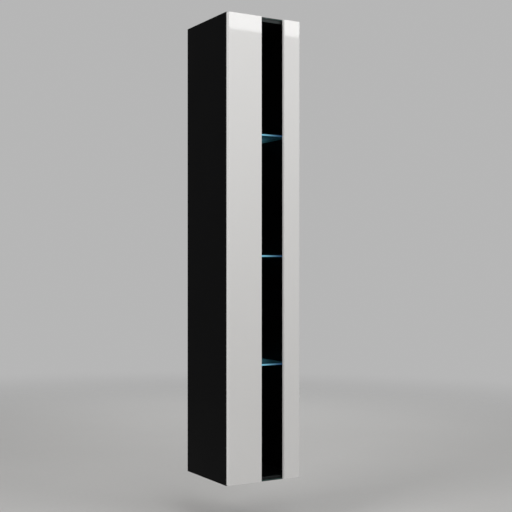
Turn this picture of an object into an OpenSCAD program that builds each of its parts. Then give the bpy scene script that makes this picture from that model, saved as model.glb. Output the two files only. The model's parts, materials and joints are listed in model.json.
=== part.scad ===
// Tall wall-hung display cabinet with one handleless door on single-pivot cup hinges.
// The origin is on the wall plane, at the underside and the middle of the width.
// +X is to the right, +Y points into the wall and +Z is up.

/* [Cabinet] */
// Width over the side panels
cabinet_w = 325; // [320:5:340]
// Height of the side panels
cabinet_h = 1800; // [1780:10:1820]
// Depth of the carcass without its door
carcass_d = 299; // [295:1:305]
// Thickness of the laminated boards
board = 18; // [18:1:19]
// Thickness of the hardboard back
back_t = 3; // [3:0.5:3.5]
// Distance from the wall to the rear of the hardboard back
back_recess = 16; // [16:1:18]

/* [Door] */
// Thickness of the gloss strips
door_t = 18; // [18:1:19]
// Gap between the carcass and the closed door
door_gap = 3; // [3:0.1:3.2]
// How far the door stops short of the cabinet's top and underside
door_reveal = 4; // [3:1:6]
// Width of the hinged gloss strip
wide_strip_w = 148; // [140:1:156]
// Width of the free gloss strip
narrow_strip_w = 72; // [68:1:76]
// Thickness of the door's glass
pane_t = 4; // [4:0.5:5]

/* [Shelves] */
// Thickness of the glass shelves
shelf_t = 6; // [6:1:8]
// Distance from the shelves' front edge to the carcass front
shelf_setback = 14; // [12:1:18]
// Height of the underside of the lower shelf
lower_shelf_z = 447; // [440:1:460]
// Height of the underside of the middle shelf
middle_shelf_z = 871; // [860:1:880]
// Height of the underside of the upper shelf
upper_shelf_z = 1343; // [1330:1:1350]

/* [Hinges] */
// Height of the lowest hinge
hinge_first_z = 110; // [100:5:130]
// Distance from one hinge to the next
hinge_pitch = 526; // [520:1:530]
// Distance of the pivot from the door's edge
pivot_edge = 7.4; // [7.2:0.1:7.4]
// Distance of the pivot in front of the carcass
pivot_front = 12; // [12:0.1:12.2]

/* [Hidden] */
$fn = 48;

half_w = cabinet_w / 2;
inner_half = half_w - board;
band_t = 1;
cut = 1;

// Grooves that hold the back panel
groove_d = 7;
groove_play = 0.1;
back_play = 0.5;
back_front = back_recess + back_t;

// Corner joints: one cam and one dowel near the front, and the same near the back
cam_depths = [60, 240];
dowel_depths = [92, 208];
cam_inset = 34;
cam_r = 7.5;
cam_t = 12.5;
cam_play = 0.5;
cam_slot_h = 9;
cam_cross_reach = 4;
cam_cross_half_w = 1;
cam_cross_d = 1.5;
cap_t = 1;
cam_neck_r = 3;
cam_shank_r = 2.5;
cam_bore_r = 3.5;
cam_head_r = 3.2;
cam_head_l = 3;
cam_thread_r = 2.5;
cam_thread_l = 11;
cam_neck_l = 8;
dowel_r = 4;
dowel_play = 0.5;
dowel_side_l = 10;
dowel_end_l = 20;

// Hangers in the upper corners
hanger_w = 18;
hanger_d = 42;
hanger_h = 64;
hanger_headroom = 6;
hanger_top_z = cabinet_h - board - hanger_headroom;
hanger_front_t = 6;
hanger_floor_t = 8;
hanger_roof_t = 4;
hook_t = 4;
hook_drop = 24;
hook_z = hanger_top_z - hook_drop;
hook_arm_h = 10;
hook_body_h = 26;
hook_inset = 14;
hook_heel = 4;
hook_side_play = 1.5;
tooth_l = 7;
tooth_t = 2.7;
tooth_play = 0.5;
opening_side_play = 2;
opening_below = 8;
opening_above = 18;
plate_t = 2.5;
lip_t = 2.5;
lip_gap = 4;
lip_h = 9;
lip_play = 0.3;
wall_plate_inset = 6;
wall_plate_w = 60;
wall_plate_h = 44;
wall_hole_r = 3.25;
wall_hole_pitch = 32;
wall_hole_drop = 28;
side_screw_r = 2;
side_screw_l = 12;
adjuster_r = 2.5;
adjuster_l = 14;
adjuster_head_r = 4;
adjuster_head_t = 1.5;
hanger_screw_drops = [12, 52];
adjuster_drops = [22, 42];
side_head_r = 3.6;
hook_x = inner_half - hanger_w / 2;

// Shelf supports and the lights on the shelves' rear edge
shelf_play = 1;
shelf_back_gap = 5;
shelf_zs = [lower_shelf_z, middle_shelf_z, upper_shelf_z];
support_depths = [50, 250];
pin_r = 2.5;
pin_l = 8;
pad_t = 1.5;
ledge_t = 3;
ledge_l = 10;
ledge_w = 12;
collar_t = 0.7;
collar_r = 4.5;
pad_w = 3.2;
pad_margin = 1;
light_w = 34;
light_jaw_t = 3;
light_depth = 15;
light_back_t = 2;
light_back_gap = 0.3;
light_slot_play = 0.2;
lens_t = 1.6;
lens_inset = 3;
lens_margin = 0.5;
light_screw_r = 1.5;
light_screw_inset = 5;
light_head_r = 2.4;
light_head_t = 1;

// Grommets that lead the lights' wires through the back
grommet_drop = 30;
grommet_r = 6;
grommet_bore_r = 3;
grommet_rim_r = 8.5;
grommet_rim_t = 1;
grommet_lip_r = 7;
grommet_lip_t = 2;

// Door stack, measured forwards from the wall
door_back = carcass_d + door_gap;
door_front = door_back + door_t;
door_z = door_reveal;
door_h = cabinet_h - 2 * door_reveal;
wide_strip_edge = -half_w + wide_strip_w;
narrow_strip_edge = half_w - narrow_strip_w;
rebate_w = 12;
rebate_play = 0.5;
tape_t = 0.5;
tape_w = 8;
tape_inset = 2;
tape_end_gap = 4;
rebate_d = pane_t + tape_t;
clip_zs = [70, 560, 1000, 1460, cabinet_h - 70];
clip_w = 16;
clip_l = 22;
clip_t = 1.5;
clip_overlap = 7;
clip_screw_x = 8;
clip_screw_r = 1.4;
clip_head_r = 3;
clip_screw_l = 12;

// Single-pivot cup hinges, drawn with x from the door's edge and y forwards from the carcass
hinge_count = 4;
cup_r = 17.5;
cup_edge = 3;
cup_x = cup_edge + cup_r;
cup_depth = 12.8;
cup_wall = 1;
flange_t = 1.2;
flange_r = 19;
flange_wing_r = 6;
cup_screw_pitch = 45;
cup_screw_inset = 9.5;
cup_screw_r = 1.6;
cup_head_r = 3.2;
cup_screw_l = 11;
ear_half_w = 3;
ear_play = 0.4;
knuckle_r = 2.3;
knuckle_h = 9;
pin_radius = 1.25;
pin_play = 0.05;
pin_length = 14.2;
ear_t = 2.2;
neck_under = 10.6;
neck_over = 14.3;
stem_in = 19.4;
stem_out = 23;
bend_r = 2;
channel_in = 21;
arm_top = 31;
arm_web_run = 4;
arm_web_t = 1.5;
arm_back = 62;
arm_nose = 10;
arm_half = 7.9;
cheek_t = 1.5;
plate_base_t = 2;
plate_back = 58;
plate_nose = 16;
plate_half = 5.8;
plate_block_h = 6;
plate_block_inset = 2;
plate_screw_pitch = 32;
plate_screw_line = 37;
plate_screw_r = 1.8;
plate_head_r = 3.4;
plate_screw_l = 11;
plate_wing = 12;
plate_wing_end = 7;
web_head_t = 1.2;
fixing_y = 50;
fixing_r = 2.4;
fixing_hole_r = 2.6;
fixing_head_r = 4;
side_adjuster_y = 22;
side_adjuster_r = 2.2;
side_adjuster_head_r = 3;

// Push-to-open latches on the right side panel
latch_zs = [640, 1190];
latch_w = 12;
latch_h = 16;
latch_back = 236;
latch_front = carcass_d - 3;
latch_x = inner_half - latch_w / 2;
latch_foot_t = 2.5;
latch_foot_h = 9;
latch_foot_half_w = 5;
latch_foot_z = (latch_h + latch_foot_h) / 2;
latch_screw_depths = [latch_back + 8, latch_front - 8];
latch_screw_r = 1.5;
latch_screw_l = 12;
latch_head_r = 3;
latch_head_t = 1;
plunger_r = 3.5;
plunger_play = 0.05;
plunger_l = 40;
plunger_neck = 2;
plunger_travel = 8;
tip_r = 4.5;
tip_t = 2.2;
strike_r = 8;
strike_t = 0.8;
strike_screw_r = 1.4;
strike_screw_l = 8;
bumper_r = 4;
bumper_t = 2.6;
bumper_zs = [40, cabinet_h - 40];

// Screw heads and the cross slots in them
wood_head_t = 1.6;
small_head_t = 1.2;
slot_w = 0.8;
slot_d = 0.7;
slot_share = 0.65;

// A block from its low corner to its high corner
module block(low, high) {
    translate(low) cube([high[0] - low[0], high[1] - low[1], high[2] - low[2]]);
}

// A round bar that starts at a point and runs along X
module bar_x(at, r, l) {
    translate(at) rotate([0, 90, 0]) cylinder(r = r, h = l);
}

// A round bar that starts at a point and runs towards the wall
module bar_y(at, r, l) {
    translate(at) rotate([-90, 0, 0]) cylinder(r = r, h = l);
}

// The same on both sides of the cabinet
module both_sides() {
    children();
    mirror([1, 0, 0]) children();
}

// The same at the top and the bottom of the cabinet
module top_and_bottom() {
    children();
    translate([0, 0, cabinet_h]) mirror([0, 0, 1]) children();
}

// The same on both sides of the middle of the height at which it is drawn
module above_and_below() {
    children();
    mirror([0, 0, 1]) children();
}

// One at each of the four corners
module four_corners() {
    top_and_bottom() both_sides() children();
}

// A cross slot for a driver, cut into a head that faces -Z at the origin
module cross_slot(head_r) {
    for (turn = [0, 90])
        rotate(turn)
            translate([-head_r * slot_share, -slot_w / 2, -cut])
                cube([head_r * slot_share * 2, slot_w, cut + slot_d]);
}

// A countersunk screw, its head at the origin and its shank along +Z
module countersunk_screw(head_r, shank_r, l, head_t) {
    difference() {
        union() {
            cylinder(r1 = head_r, r2 = shank_r, h = head_t);
            cylinder(r = shank_r, h = l);
        }
        cross_slot(head_r);
    }
}

// A flat-headed screw, its head at the origin and its shank along +Z
module flat_screw(head_r, shank_r, l, head_t) {
    difference() {
        union() {
            cylinder(r = head_r, h = head_t);
            cylinder(r = shank_r, h = l);
        }
        cross_slot(head_r);
    }
}

// The space that a countersunk screw takes up
module screw_hole(head_r, shank_r, l, head_t) {
    cylinder(r1 = head_r, r2 = shank_r, h = head_t);
    cylinder(r = shank_r, h = l);
}

// Hinge coordinates: x from the left edge of the door, y forwards from the carcass
module at_each_hinge() {
    for (i = [0 : hinge_count - 1])
        translate([-half_w, -carcass_d, hinge_first_z + i * hinge_pitch])
            mirror([0, 1, 0])
                children();
}

// ---- Carcass ----

module side_fixings() {
    for (y = cam_depths)
        bar_x([inner_half - cut, -y, cabinet_h - board / 2], cam_thread_r, cam_thread_l + cut);
    for (y = dowel_depths)
        bar_x([inner_half - cut, -y, cabinet_h - board / 2], dowel_r, dowel_side_l + cut);
}

module side_panel() {
    difference() {
        block([inner_half, -carcass_d + band_t, 0], [half_w, 0, cabinet_h]);
        block([inner_half - cut, -back_front - groove_play, board - groove_d],
            [inner_half + groove_d, -back_recess + groove_play, cabinet_h - board + groove_d]);
        top_and_bottom() side_fixings();
        for (z = shelf_zs, y = support_depths)
            bar_x([inner_half - cut, -y, z - pad_t - ledge_t / 2], pin_r, pin_l + cut);
        for (drop = hanger_screw_drops)
            translate([inner_half, -back_front - hanger_d / 2, hanger_top_z - drop])
                rotate([0, 90, 0]) cylinder(r = side_screw_r, h = side_screw_l);
    }
}

module left_side_panel() {
    color("#141415")
    difference() {
        mirror([1, 0, 0]) side_panel();
        at_each_hinge()
            above_and_below()
                translate([board, -plate_screw_line, plate_screw_pitch / 2])
                    rotate([0, -90, 0]) cylinder(r = plate_screw_r, h = plate_screw_l + 1);
    }
}

module right_side_panel() {
    color("#141415")
    difference() {
        side_panel();
        for (z = latch_zs, y = latch_screw_depths)
            bar_x([inner_half - cut, -y, z + latch_foot_z],
                latch_screw_r, cut + latch_screw_l - latch_foot_t - latch_head_t);
    }
}

module cross_panel() {
    difference() {
        block([-inner_half, -carcass_d + band_t, cabinet_h - board], [inner_half, 0, cabinet_h]);
        block([-inner_half - cut, -back_front - groove_play, cabinet_h - board - cut],
            [inner_half + cut, -back_recess + groove_play, cabinet_h - board + groove_d]);
        both_sides() {
            for (y = cam_depths) {
                translate([inner_half - cam_inset, -y, cabinet_h - cam_t - cap_t])
                    cylinder(r = cam_r, h = cam_t + cap_t + cut);
                bar_x([inner_half - cam_inset, -y, cabinet_h - board / 2],
                    cam_bore_r, cam_inset + cut);
            }
            for (y = dowel_depths)
                bar_x([inner_half - dowel_end_l, -y, cabinet_h - board / 2],
                    dowel_r, dowel_end_l + cut);
        }
    }
}

module top_panel() {
    color("#161617") cross_panel();
}

module bottom_panel() {
    color("#161617") translate([0, 0, cabinet_h]) mirror([0, 0, 1]) cross_panel();
}

module back_panel() {
    reach = groove_d - back_play;
    color("#0d0d0f")
    difference() {
        block([-inner_half - reach, -back_front, board - reach],
            [inner_half + reach, -back_recess, cabinet_h - board + reach]);
        for (z = shelf_zs)
            bar_y([0, -back_front - cut, z - grommet_drop], grommet_r, back_t + 2 * cut);
        both_sides()
            block([hook_x - hook_t / 2 - opening_side_play, -back_front - cut, hook_z - opening_below],
                [hook_x + hook_t / 2 + opening_side_play, -back_recess + cut, hook_z + opening_above]);
    }
}

module side_edge_bands() {
    color("#1b1b1d")
    both_sides()
        block([inner_half, -carcass_d, 0], [half_w, -carcass_d + band_t, cabinet_h]);
}

module cross_edge_bands() {
    color("#1b1b1d")
    top_and_bottom()
        block([-inner_half, -carcass_d, cabinet_h - board],
            [inner_half, -carcass_d + band_t, cabinet_h]);
}

module corner_dowels() {
    color("#c9a572")
    four_corners()
        for (y = dowel_depths)
            bar_x([inner_half - dowel_end_l + dowel_play, -y, cabinet_h - board / 2],
                dowel_r, dowel_end_l + dowel_side_l - 2 * dowel_play);
}

module cam_locks() {
    color("#a9abad")
    four_corners()
        for (y = cam_depths)
            translate([inner_half - cam_inset, -y, cabinet_h - cam_t - cap_t])
                difference() {
                    cylinder(r = cam_r, h = cam_t);
                    block([-cam_bore_r - 2 * cam_play, -cam_bore_r - cam_play, -cut],
                        [cam_r + cut, cam_bore_r + cam_play, cam_slot_h]);
                    block([-cam_cross_reach, -cam_cross_half_w, cam_t - cam_cross_d],
                        [cam_cross_reach, cam_cross_half_w, cam_t + cut]);
                    block([-cam_cross_half_w, -cam_cross_reach, cam_t - cam_cross_d],
                        [cam_cross_half_w, cam_cross_reach, cam_t + cut]);
                }
}

module cam_bolts() {
    color("#b9bbbd")
    four_corners()
        for (y = cam_depths)
            translate([0, -y, cabinet_h - board / 2]) {
                bar_x([inner_half, 0, 0], cam_thread_r, cam_thread_l);
                bar_x([inner_half - cam_inset + cam_head_l, 0, 0], cam_shank_r, cam_inset - cam_head_l);
                bar_x([inner_half - cam_inset, 0, 0], cam_head_r, cam_head_l);
                bar_x([inner_half - cam_neck_l, 0, 0], cam_neck_r, cam_neck_l);
            }
}

module cam_caps() {
    color("#18181a")
    four_corners()
        for (y = cam_depths)
            translate([inner_half - cam_inset, -y, cabinet_h - cap_t])
                cylinder(r = cam_r, h = cap_t);
}

// ---- Hangers ----

module hanger_housings() {
    side = inner_half - hanger_w;
    low = hanger_top_z - hanger_h;
    color("#d9dadb")
    both_sides()
        difference() {
            block([side, -back_front - hanger_d, low], [inner_half, -back_front, hanger_top_z]);
            block([hook_x - hook_t / 2 - hook_side_play, -back_front - hanger_d + hanger_front_t,
                low + hanger_floor_t],
                [hook_x + hook_t / 2 + hook_side_play, -back_front + cut,
                hanger_top_z - hanger_roof_t]);
            for (drop = hanger_screw_drops)
                translate([side, -back_front - hanger_d / 2, hanger_top_z - drop])
                    rotate([0, 90, 0])
                        screw_hole(side_head_r, side_screw_r, hanger_w + cut, wood_head_t);
            for (drop = adjuster_drops)
                bar_y([hook_x, -back_front - hanger_d - cut, hanger_top_z - drop],
                    adjuster_r, hanger_front_t + 2 * cut);
        }
}

module hanger_hooks() {
    front = -back_front - hanger_d + hook_inset;
    heel = -back_front - hook_heel;
    tooth_back = -plate_t - tooth_play;
    tooth_front = tooth_back - tooth_t;
    color("#b4b6b8")
    both_sides()
        translate([hook_x - hook_t / 2, 0, 0])
            rotate([90, 0, 90])
                linear_extrude(hook_t)
                    polygon([[front, hook_z - hook_body_h], [heel, hook_z - hook_body_h],
                        [heel, hook_z], [tooth_front, hook_z],
                        [tooth_front, hook_z - tooth_l], [tooth_back, hook_z - tooth_l],
                        [tooth_back, hook_z + hook_arm_h], [front, hook_z + hook_arm_h]]);
}

module hanger_adjusting_screws() {
    color("#c2c4c6")
    both_sides()
        for (drop = adjuster_drops)
            translate([hook_x, -back_front - hanger_d - adjuster_head_t, hanger_top_z - drop])
                rotate([-90, 0, 0])
                    flat_screw(adjuster_head_r, adjuster_r, adjuster_l, adjuster_head_t);
}

module hanger_covers() {
    gap = 0.3;
    wall = 1.5;
    head_room = 4;
    side = inner_half - hanger_w - gap;
    low = hanger_top_z - hanger_h - gap;
    front = -back_front - hanger_d - head_room;
    color("#17171a")
    both_sides()
        difference() {
            block([side - wall, front, low - wall], [inner_half, -back_front, hanger_top_z + gap + wall]);
            block([side, front + wall, low], [inner_half + cut, -back_front + cut, hanger_top_z + gap]);
        }
}

module hanger_side_screws() {
    color("#c2c4c6")
    both_sides()
        for (drop = hanger_screw_drops)
            translate([inner_half - hanger_w, -back_front - hanger_d / 2, hanger_top_z - drop])
                rotate([0, 90, 0])
                    countersunk_screw(side_head_r, side_screw_r, hanger_w + side_screw_l,
                        wood_head_t);
}

module wall_plates() {
    outer = inner_half - wall_plate_inset;
    inner = outer - wall_plate_w;
    top = hook_z - lip_h;
    hole_x = (inner + outer) / 2;
    color("#b4b6b8")
    both_sides()
        difference() {
            union() {
                block([inner, -plate_t, top - wall_plate_h], [outer, 0, top]);
                block([inner, -plate_t - lip_gap - lip_t, top - lip_t], [outer, -plate_t, top]);
                block([inner, -plate_t - lip_gap - lip_t, top],
                    [outer, -plate_t - lip_gap, hook_z - lip_play]);
            }
            for (x = [-1, 1])
                bar_y([hole_x + x * wall_hole_pitch / 2, -plate_t - cut, top - wall_hole_drop],
                    wall_hole_r, plate_t + 2 * cut);
        }
}

module cable_grommets() {
    color("#101012")
    for (z = shelf_zs)
        translate([0, -back_front, z - grommet_drop])
            rotate([-90, 0, 0])
                difference() {
                    union() {
                        translate([0, 0, -grommet_rim_t])
                            cylinder(r = grommet_rim_r, h = grommet_rim_t);
                        cylinder(r = grommet_r, h = back_t);
                        translate([0, 0, back_t]) cylinder(r = grommet_lip_r, h = grommet_lip_t);
                    }
                    translate([0, 0, -grommet_rim_t - cut])
                        cylinder(r = grommet_bore_r,
                            h = grommet_rim_t + back_t + grommet_lip_t + 2 * cut);
                }
}

// ---- Shelves ----

module glass_shelf(z) {
    color("#9fd6e0", 0.4)
    block([-inner_half + shelf_play, -carcass_d + shelf_setback, z],
        [inner_half - shelf_play, -back_front - shelf_back_gap, z + shelf_t]);
}

module lower_glass_shelf() { glass_shelf(lower_shelf_z); }

module middle_glass_shelf() { glass_shelf(middle_shelf_z); }

module upper_glass_shelf() { glass_shelf(upper_shelf_z); }

module shelf_pins() {
    color("#b9bbbd")
    both_sides()
        for (z = shelf_zs, y = support_depths)
            translate([0, -y, z - pad_t - ledge_t / 2]) {
                bar_x([inner_half, 0, 0], pin_r, pin_l);
                bar_x([inner_half - collar_t, 0, 0], collar_r, collar_t);
                block([inner_half - ledge_l, -ledge_w / 2, -ledge_t / 2],
                    [inner_half - collar_t / 2, ledge_w / 2, ledge_t / 2]);
            }
}

module shelf_pads() {
    color("#dfe3e6", 0.8)
    both_sides()
        for (z = shelf_zs, y = support_depths)
            block([inner_half - ledge_l + pad_margin, -y - ledge_w / 2 + pad_margin, z - pad_t],
                [inner_half - ledge_l + pad_margin + pad_w, -y + ledge_w / 2 - pad_margin, z]);
}

module at_each_light() {
    for (z = shelf_zs)
        translate([0, -back_front - light_back_gap, z])
            children();
}

module shelf_light_clips() {
    color("#17171a")
    at_each_light()
        difference() {
            block([-light_w / 2, -light_depth, -light_jaw_t],
                [light_w / 2, 0, shelf_t + light_jaw_t]);
            block([-light_w / 2 - cut, -light_depth - cut, -light_slot_play],
                [light_w / 2 + cut, -light_back_t, shelf_t + light_slot_play]);
            translate([0, -light_depth + light_screw_inset, -light_jaw_t - cut])
                cylinder(r = light_screw_r, h = light_jaw_t + cut);
        }
}

module shelf_light_lenses() {
    color("#7fd8ff")
    at_each_light()
        block([-light_w / 2 + lens_inset, -light_back_t - lens_t, lens_margin],
            [light_w / 2 - lens_inset, -light_back_t, shelf_t - lens_margin]);
}

module shelf_light_screws() {
    color("#b9bbbd")
    at_each_light()
        translate([0, -light_depth + light_screw_inset, -light_jaw_t - light_head_t])
            flat_screw(light_head_r, light_screw_r, light_jaw_t + light_head_t, light_head_t);
}

// ---- Door ----

module strip_clip_holes(edge, way) {
    for (z = clip_zs)
        bar_y([edge + way * clip_screw_x, -door_back - clip_screw_l, z],
            clip_screw_r, clip_screw_l + cut);
}

module door_wide_strip() {
    color("#f2f1ee")
    difference() {
        block([-half_w, -door_front, door_z], [wide_strip_edge, -door_back, door_z + door_h]);
        block([wide_strip_edge - rebate_w, -door_back - rebate_d, door_z - cut],
            [wide_strip_edge + cut, -door_back + cut, door_z + door_h + cut]);
        strip_clip_holes(wide_strip_edge - rebate_w, -1);
        at_each_hinge() {
            translate([cup_x, door_gap + cup_depth, 0]) rotate([90, 0, 0])
                cylinder(r = cup_r, h = cup_depth + cut);
            above_and_below()
                translate([cup_x + cup_screw_inset, door_gap + cup_screw_l, cup_screw_pitch / 2])
                    rotate([90, 0, 0]) cylinder(r = cup_screw_r, h = cup_screw_l + cut);
        }
    }
}

module door_narrow_strip() {
    color("#f2f1ee")
    difference() {
        block([narrow_strip_edge, -door_front, door_z], [half_w, -door_back, door_z + door_h]);
        block([narrow_strip_edge - cut, -door_back - rebate_d, door_z - cut],
            [narrow_strip_edge + rebate_w, -door_back + cut, door_z + door_h + cut]);
        strip_clip_holes(narrow_strip_edge + rebate_w, 1);
        for (z = latch_zs)
            bar_y([latch_x, -door_back - strike_screw_l - 1, z],
                strike_screw_r, strike_screw_l + 1 + cut);
    }
}

module door_glass_pane() {
    color("#cfe6ea", 0.3)
    block([wide_strip_edge - rebate_w + rebate_play, -door_back - pane_t, door_z + rebate_play],
        [narrow_strip_edge + rebate_w - rebate_play, -door_back, door_z + door_h - rebate_play]);
}

module glass_bonding_tapes() {
    low = door_z + tape_end_gap;
    high = door_z + door_h - tape_end_gap;
    wide_end = wide_strip_edge - tape_inset;
    narrow_end = narrow_strip_edge + tape_inset;
    color("#0c0c0d") {
        block([wide_end - tape_w, -door_back - rebate_d, low],
            [wide_end, -door_back - pane_t, high]);
        block([narrow_end, -door_back - rebate_d, low],
            [narrow_end + tape_w, -door_back - pane_t, high]);
    }
}

// One clip, drawn with x from the rebate's wall away from the glass
module glass_clip() {
    difference() {
        block([-clip_overlap, 0, -clip_w / 2], [clip_l - clip_overlap, clip_t, clip_w / 2]);
        translate([clip_screw_x, clip_t, 0])
            rotate([90, 0, 0])
                screw_hole(clip_head_r, clip_screw_r, clip_t + cut, small_head_t);
    }
}

module at_each_clip() {
    for (z = clip_zs) {
        translate([narrow_strip_edge + rebate_w, -door_back, z]) children();
        translate([wide_strip_edge - rebate_w, -door_back, z]) mirror([1, 0, 0]) children();
    }
}

module glass_clips() {
    color("#b9bbbd") at_each_clip() glass_clip();
}

module glass_clip_screws() {
    color("#c2c4c6")
    at_each_clip()
        translate([clip_screw_x, clip_t, 0])
            rotate([90, 0, 0])
                countersunk_screw(clip_head_r, clip_screw_r, clip_t + clip_screw_l - 1, small_head_t);
}

// ---- Hinges ----

module cup_body() {
    translate([cup_x, door_gap + cup_depth, 0])
        rotate([90, 0, 0])
            difference() {
                cylinder(r = cup_r, h = cup_depth);
                translate([0, 0, cup_wall]) cylinder(r = cup_r - cup_wall, h = cup_depth);
            }
}

module cup_flange() {
    screw_x = cup_x + cup_screw_inset;
    difference() {
        translate([0, door_gap, 0])
            rotate([90, 0, 0])
                linear_extrude(flange_t)
                    difference() {
                        union() {
                            translate([cup_x, 0]) circle(r = flange_r);
                            translate([screw_x - flange_wing_r, -cup_screw_pitch / 2])
                                square([2 * flange_wing_r, cup_screw_pitch]);
                            for (side = [-1, 1])
                                translate([screw_x, side * cup_screw_pitch / 2])
                                    circle(r = flange_wing_r);
                        }
                        translate([cup_x, 0]) circle(r = cup_r - cup_wall);
                    }
        above_and_below()
            translate([screw_x, door_gap - flange_t, cup_screw_pitch / 2])
                rotate([-90, 0, 0])
                    screw_hole(cup_head_r, cup_screw_r, flange_t + cut, small_head_t);
    }
}

module cup_ears() {
    ear_in = knuckle_h / 2 + ear_play;
    intersection() {
        above_and_below()
            block([pivot_edge - ear_half_w, pivot_front - ear_half_w, ear_in],
                [pivot_edge + ear_half_w, door_gap + cup_depth - cup_wall / 2, ear_in + ear_t]);
        translate([cup_x, door_gap + cup_depth, 0])
            rotate([90, 0, 0]) cylinder(r = cup_r - cup_wall / 2, h = cup_depth);
    }
}

module hinge_cups() {
    color("#c4c6c8")
    at_each_hinge()
        difference() {
            union() {
                cup_body();
                cup_flange();
                cup_ears();
            }
            translate([pivot_edge, pivot_front, -pin_length / 2])
                cylinder(r = pin_radius, h = pin_length);
        }
}

module hinge_pivot_pins() {
    color("#a4a6a8")
    at_each_hinge()
        translate([pivot_edge, pivot_front, -pin_length / 2])
            cylinder(r = pin_radius, h = pin_length);
}

module hinge_cup_screws() {
    color("#c2c4c6")
    at_each_hinge()
        above_and_below()
            translate([cup_x + cup_screw_inset, door_gap - flange_t, cup_screw_pitch / 2])
                rotate([-90, 0, 0])
                    countersunk_screw(cup_head_r, cup_screw_r, flange_t + cup_screw_l - 1,
                        small_head_t);
}

// Cranked arm: a knuckle on the pin, a neck across the cup, and a stem down to the channel
module hinge_arm() {
    difference() {
        union() {
            translate([0, 0, -knuckle_h / 2])
                linear_extrude(knuckle_h)
                    union() {
                        translate([pivot_edge, pivot_front]) circle(r = knuckle_r);
                        translate([pivot_edge, neck_under])
                            square([stem_out - bend_r - pivot_edge, neck_over - neck_under]);
                        translate([stem_out - bend_r, neck_over - bend_r]) circle(r = bend_r);
                        translate([stem_in, -arm_nose - bend_r])
                            square([stem_out - stem_in, arm_nose + neck_over]);
                        polygon([[stem_in, -bend_r], [stem_out, -bend_r], [arm_top, -arm_nose],
                            [arm_top, -arm_nose - arm_web_run],
                            [channel_in, -arm_nose - arm_web_run],
                            [stem_in, -arm_nose + bend_r]]);
                    }
            above_and_below()
                block([channel_in, -arm_back, arm_half - cheek_t], [arm_top, -arm_nose, arm_half]);
            block([arm_top - arm_web_t, -arm_back, -arm_half], [arm_top, -arm_nose, arm_half]);
        }
        translate([pivot_edge, pivot_front, -knuckle_h])
            cylinder(r = pin_radius + pin_play, h = 2 * knuckle_h);
        translate([arm_top - arm_web_t - cut, -fixing_y, 0]) rotate([0, 90, 0])
            cylinder(r = fixing_hole_r, h = arm_web_t + 2 * cut);
        translate([arm_top - arm_web_t - cut, -side_adjuster_y, 0]) rotate([0, 90, 0])
            cylinder(r = side_adjuster_r, h = arm_web_t + 2 * cut);
    }
}

module hinge_arms() {
    color("#c4c6c8") at_each_hinge() hinge_arm();
}

module hinge_mounting_plates() {
    wing_back = plate_screw_line + plate_wing / 2;
    wing_half = plate_screw_pitch / 2 + plate_wing_end;
    color("#bcbec0")
    at_each_hinge()
        difference() {
            union() {
                block([board, -plate_back, -plate_half], [board + plate_base_t, -plate_nose, plate_half]);
                block([board, -wing_back, -wing_half],
                    [board + plate_base_t, -wing_back + plate_wing, wing_half]);
                block([board + plate_base_t, -plate_back + plate_block_inset, -plate_half],
                    [board + plate_base_t + plate_block_h, -plate_nose - plate_block_inset,
                    plate_half]);
            }
            above_and_below()
                translate([board + plate_base_t, -plate_screw_line, plate_screw_pitch / 2])
                    rotate([0, -90, 0])
                        screw_hole(plate_head_r, plate_screw_r, plate_base_t + cut, wood_head_t);
            translate([board + plate_base_t, -fixing_y, 0]) rotate([0, 90, 0])
                cylinder(r = fixing_r, h = plate_block_h + cut);
        }
}

module hinge_plate_screws() {
    color("#c2c4c6")
    at_each_hinge()
        above_and_below()
            translate([board + plate_base_t, -plate_screw_line, plate_screw_pitch / 2])
                rotate([0, -90, 0])
                    countersunk_screw(plate_head_r, plate_screw_r, plate_base_t + plate_screw_l,
                        wood_head_t);
}

// A machine screw through the arm's web, with a flat head of a given size on top
module web_screw(y, head_r, shank_r, foot) {
    translate([arm_top + web_head_t, -y, 0])
        rotate([0, -90, 0])
            flat_screw(head_r, shank_r, arm_top + web_head_t - foot, web_head_t);
}

module hinge_fixing_screws() {
    color("#c2c4c6")
    at_each_hinge()
        web_screw(fixing_y, fixing_head_r, fixing_r, board + plate_base_t);
}

module hinge_side_adjusters() {
    foot = board + plate_base_t + plate_block_h;
    color("#c2c4c6")
    at_each_hinge()
        web_screw(side_adjuster_y, side_adjuster_head_r, side_adjuster_r, foot);
}

module hinge_arm_covers() {
    gap = 0.3;
    wall = 0.8;
    top_wall = 0.4;
    foot = arm_top - 6;
    top = arm_top + 1.8;
    nose = -arm_nose - 3;
    color("#a9abad")
    at_each_hinge()
        difference() {
            block([foot, -arm_back - gap - wall, -arm_half - gap - wall],
                [top, nose, arm_half + gap + wall]);
            block([foot - cut, -arm_back - gap, -arm_half - gap],
                [top - top_wall, nose + cut, arm_half + gap]);
        }
}

// ---- Push-to-open latches ----

module push_latch_housings() {
    color("#26272a") {
        for (z = latch_zs)
            difference() {
                block([inner_half - latch_w, -latch_front, z - latch_h / 2],
                    [inner_half, -latch_back, z + latch_h / 2]);
                bar_y([latch_x, -latch_front - cut, z],
                    plunger_r + plunger_play, plunger_l + plunger_travel);
            }
        for (z = latch_zs, y = latch_screw_depths)
            latch_foot(y, z);
    }
}

// A screw foot beside the housing
module latch_foot(y, z) {
    difference() {
        block([inner_half - latch_foot_t, -y - latch_foot_half_w, z + latch_h / 2],
            [inner_half, -y + latch_foot_half_w, z + latch_h / 2 + latch_foot_h]);
        bar_x([inner_half - latch_foot_t - cut, -y, z + latch_foot_z],
            latch_screw_r, latch_foot_t + 2 * cut);
    }
}

module push_latch_plungers() {
    color("#d9dadb")
    for (z = latch_zs)
        bar_y([latch_x, -latch_front - plunger_neck, z], plunger_r, plunger_l);
}

module push_latch_tips() {
    color("#3a3b3e")
    for (z = latch_zs)
        bar_y([latch_x, -latch_front - plunger_neck - tip_t, z], tip_r, tip_t);
}

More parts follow.
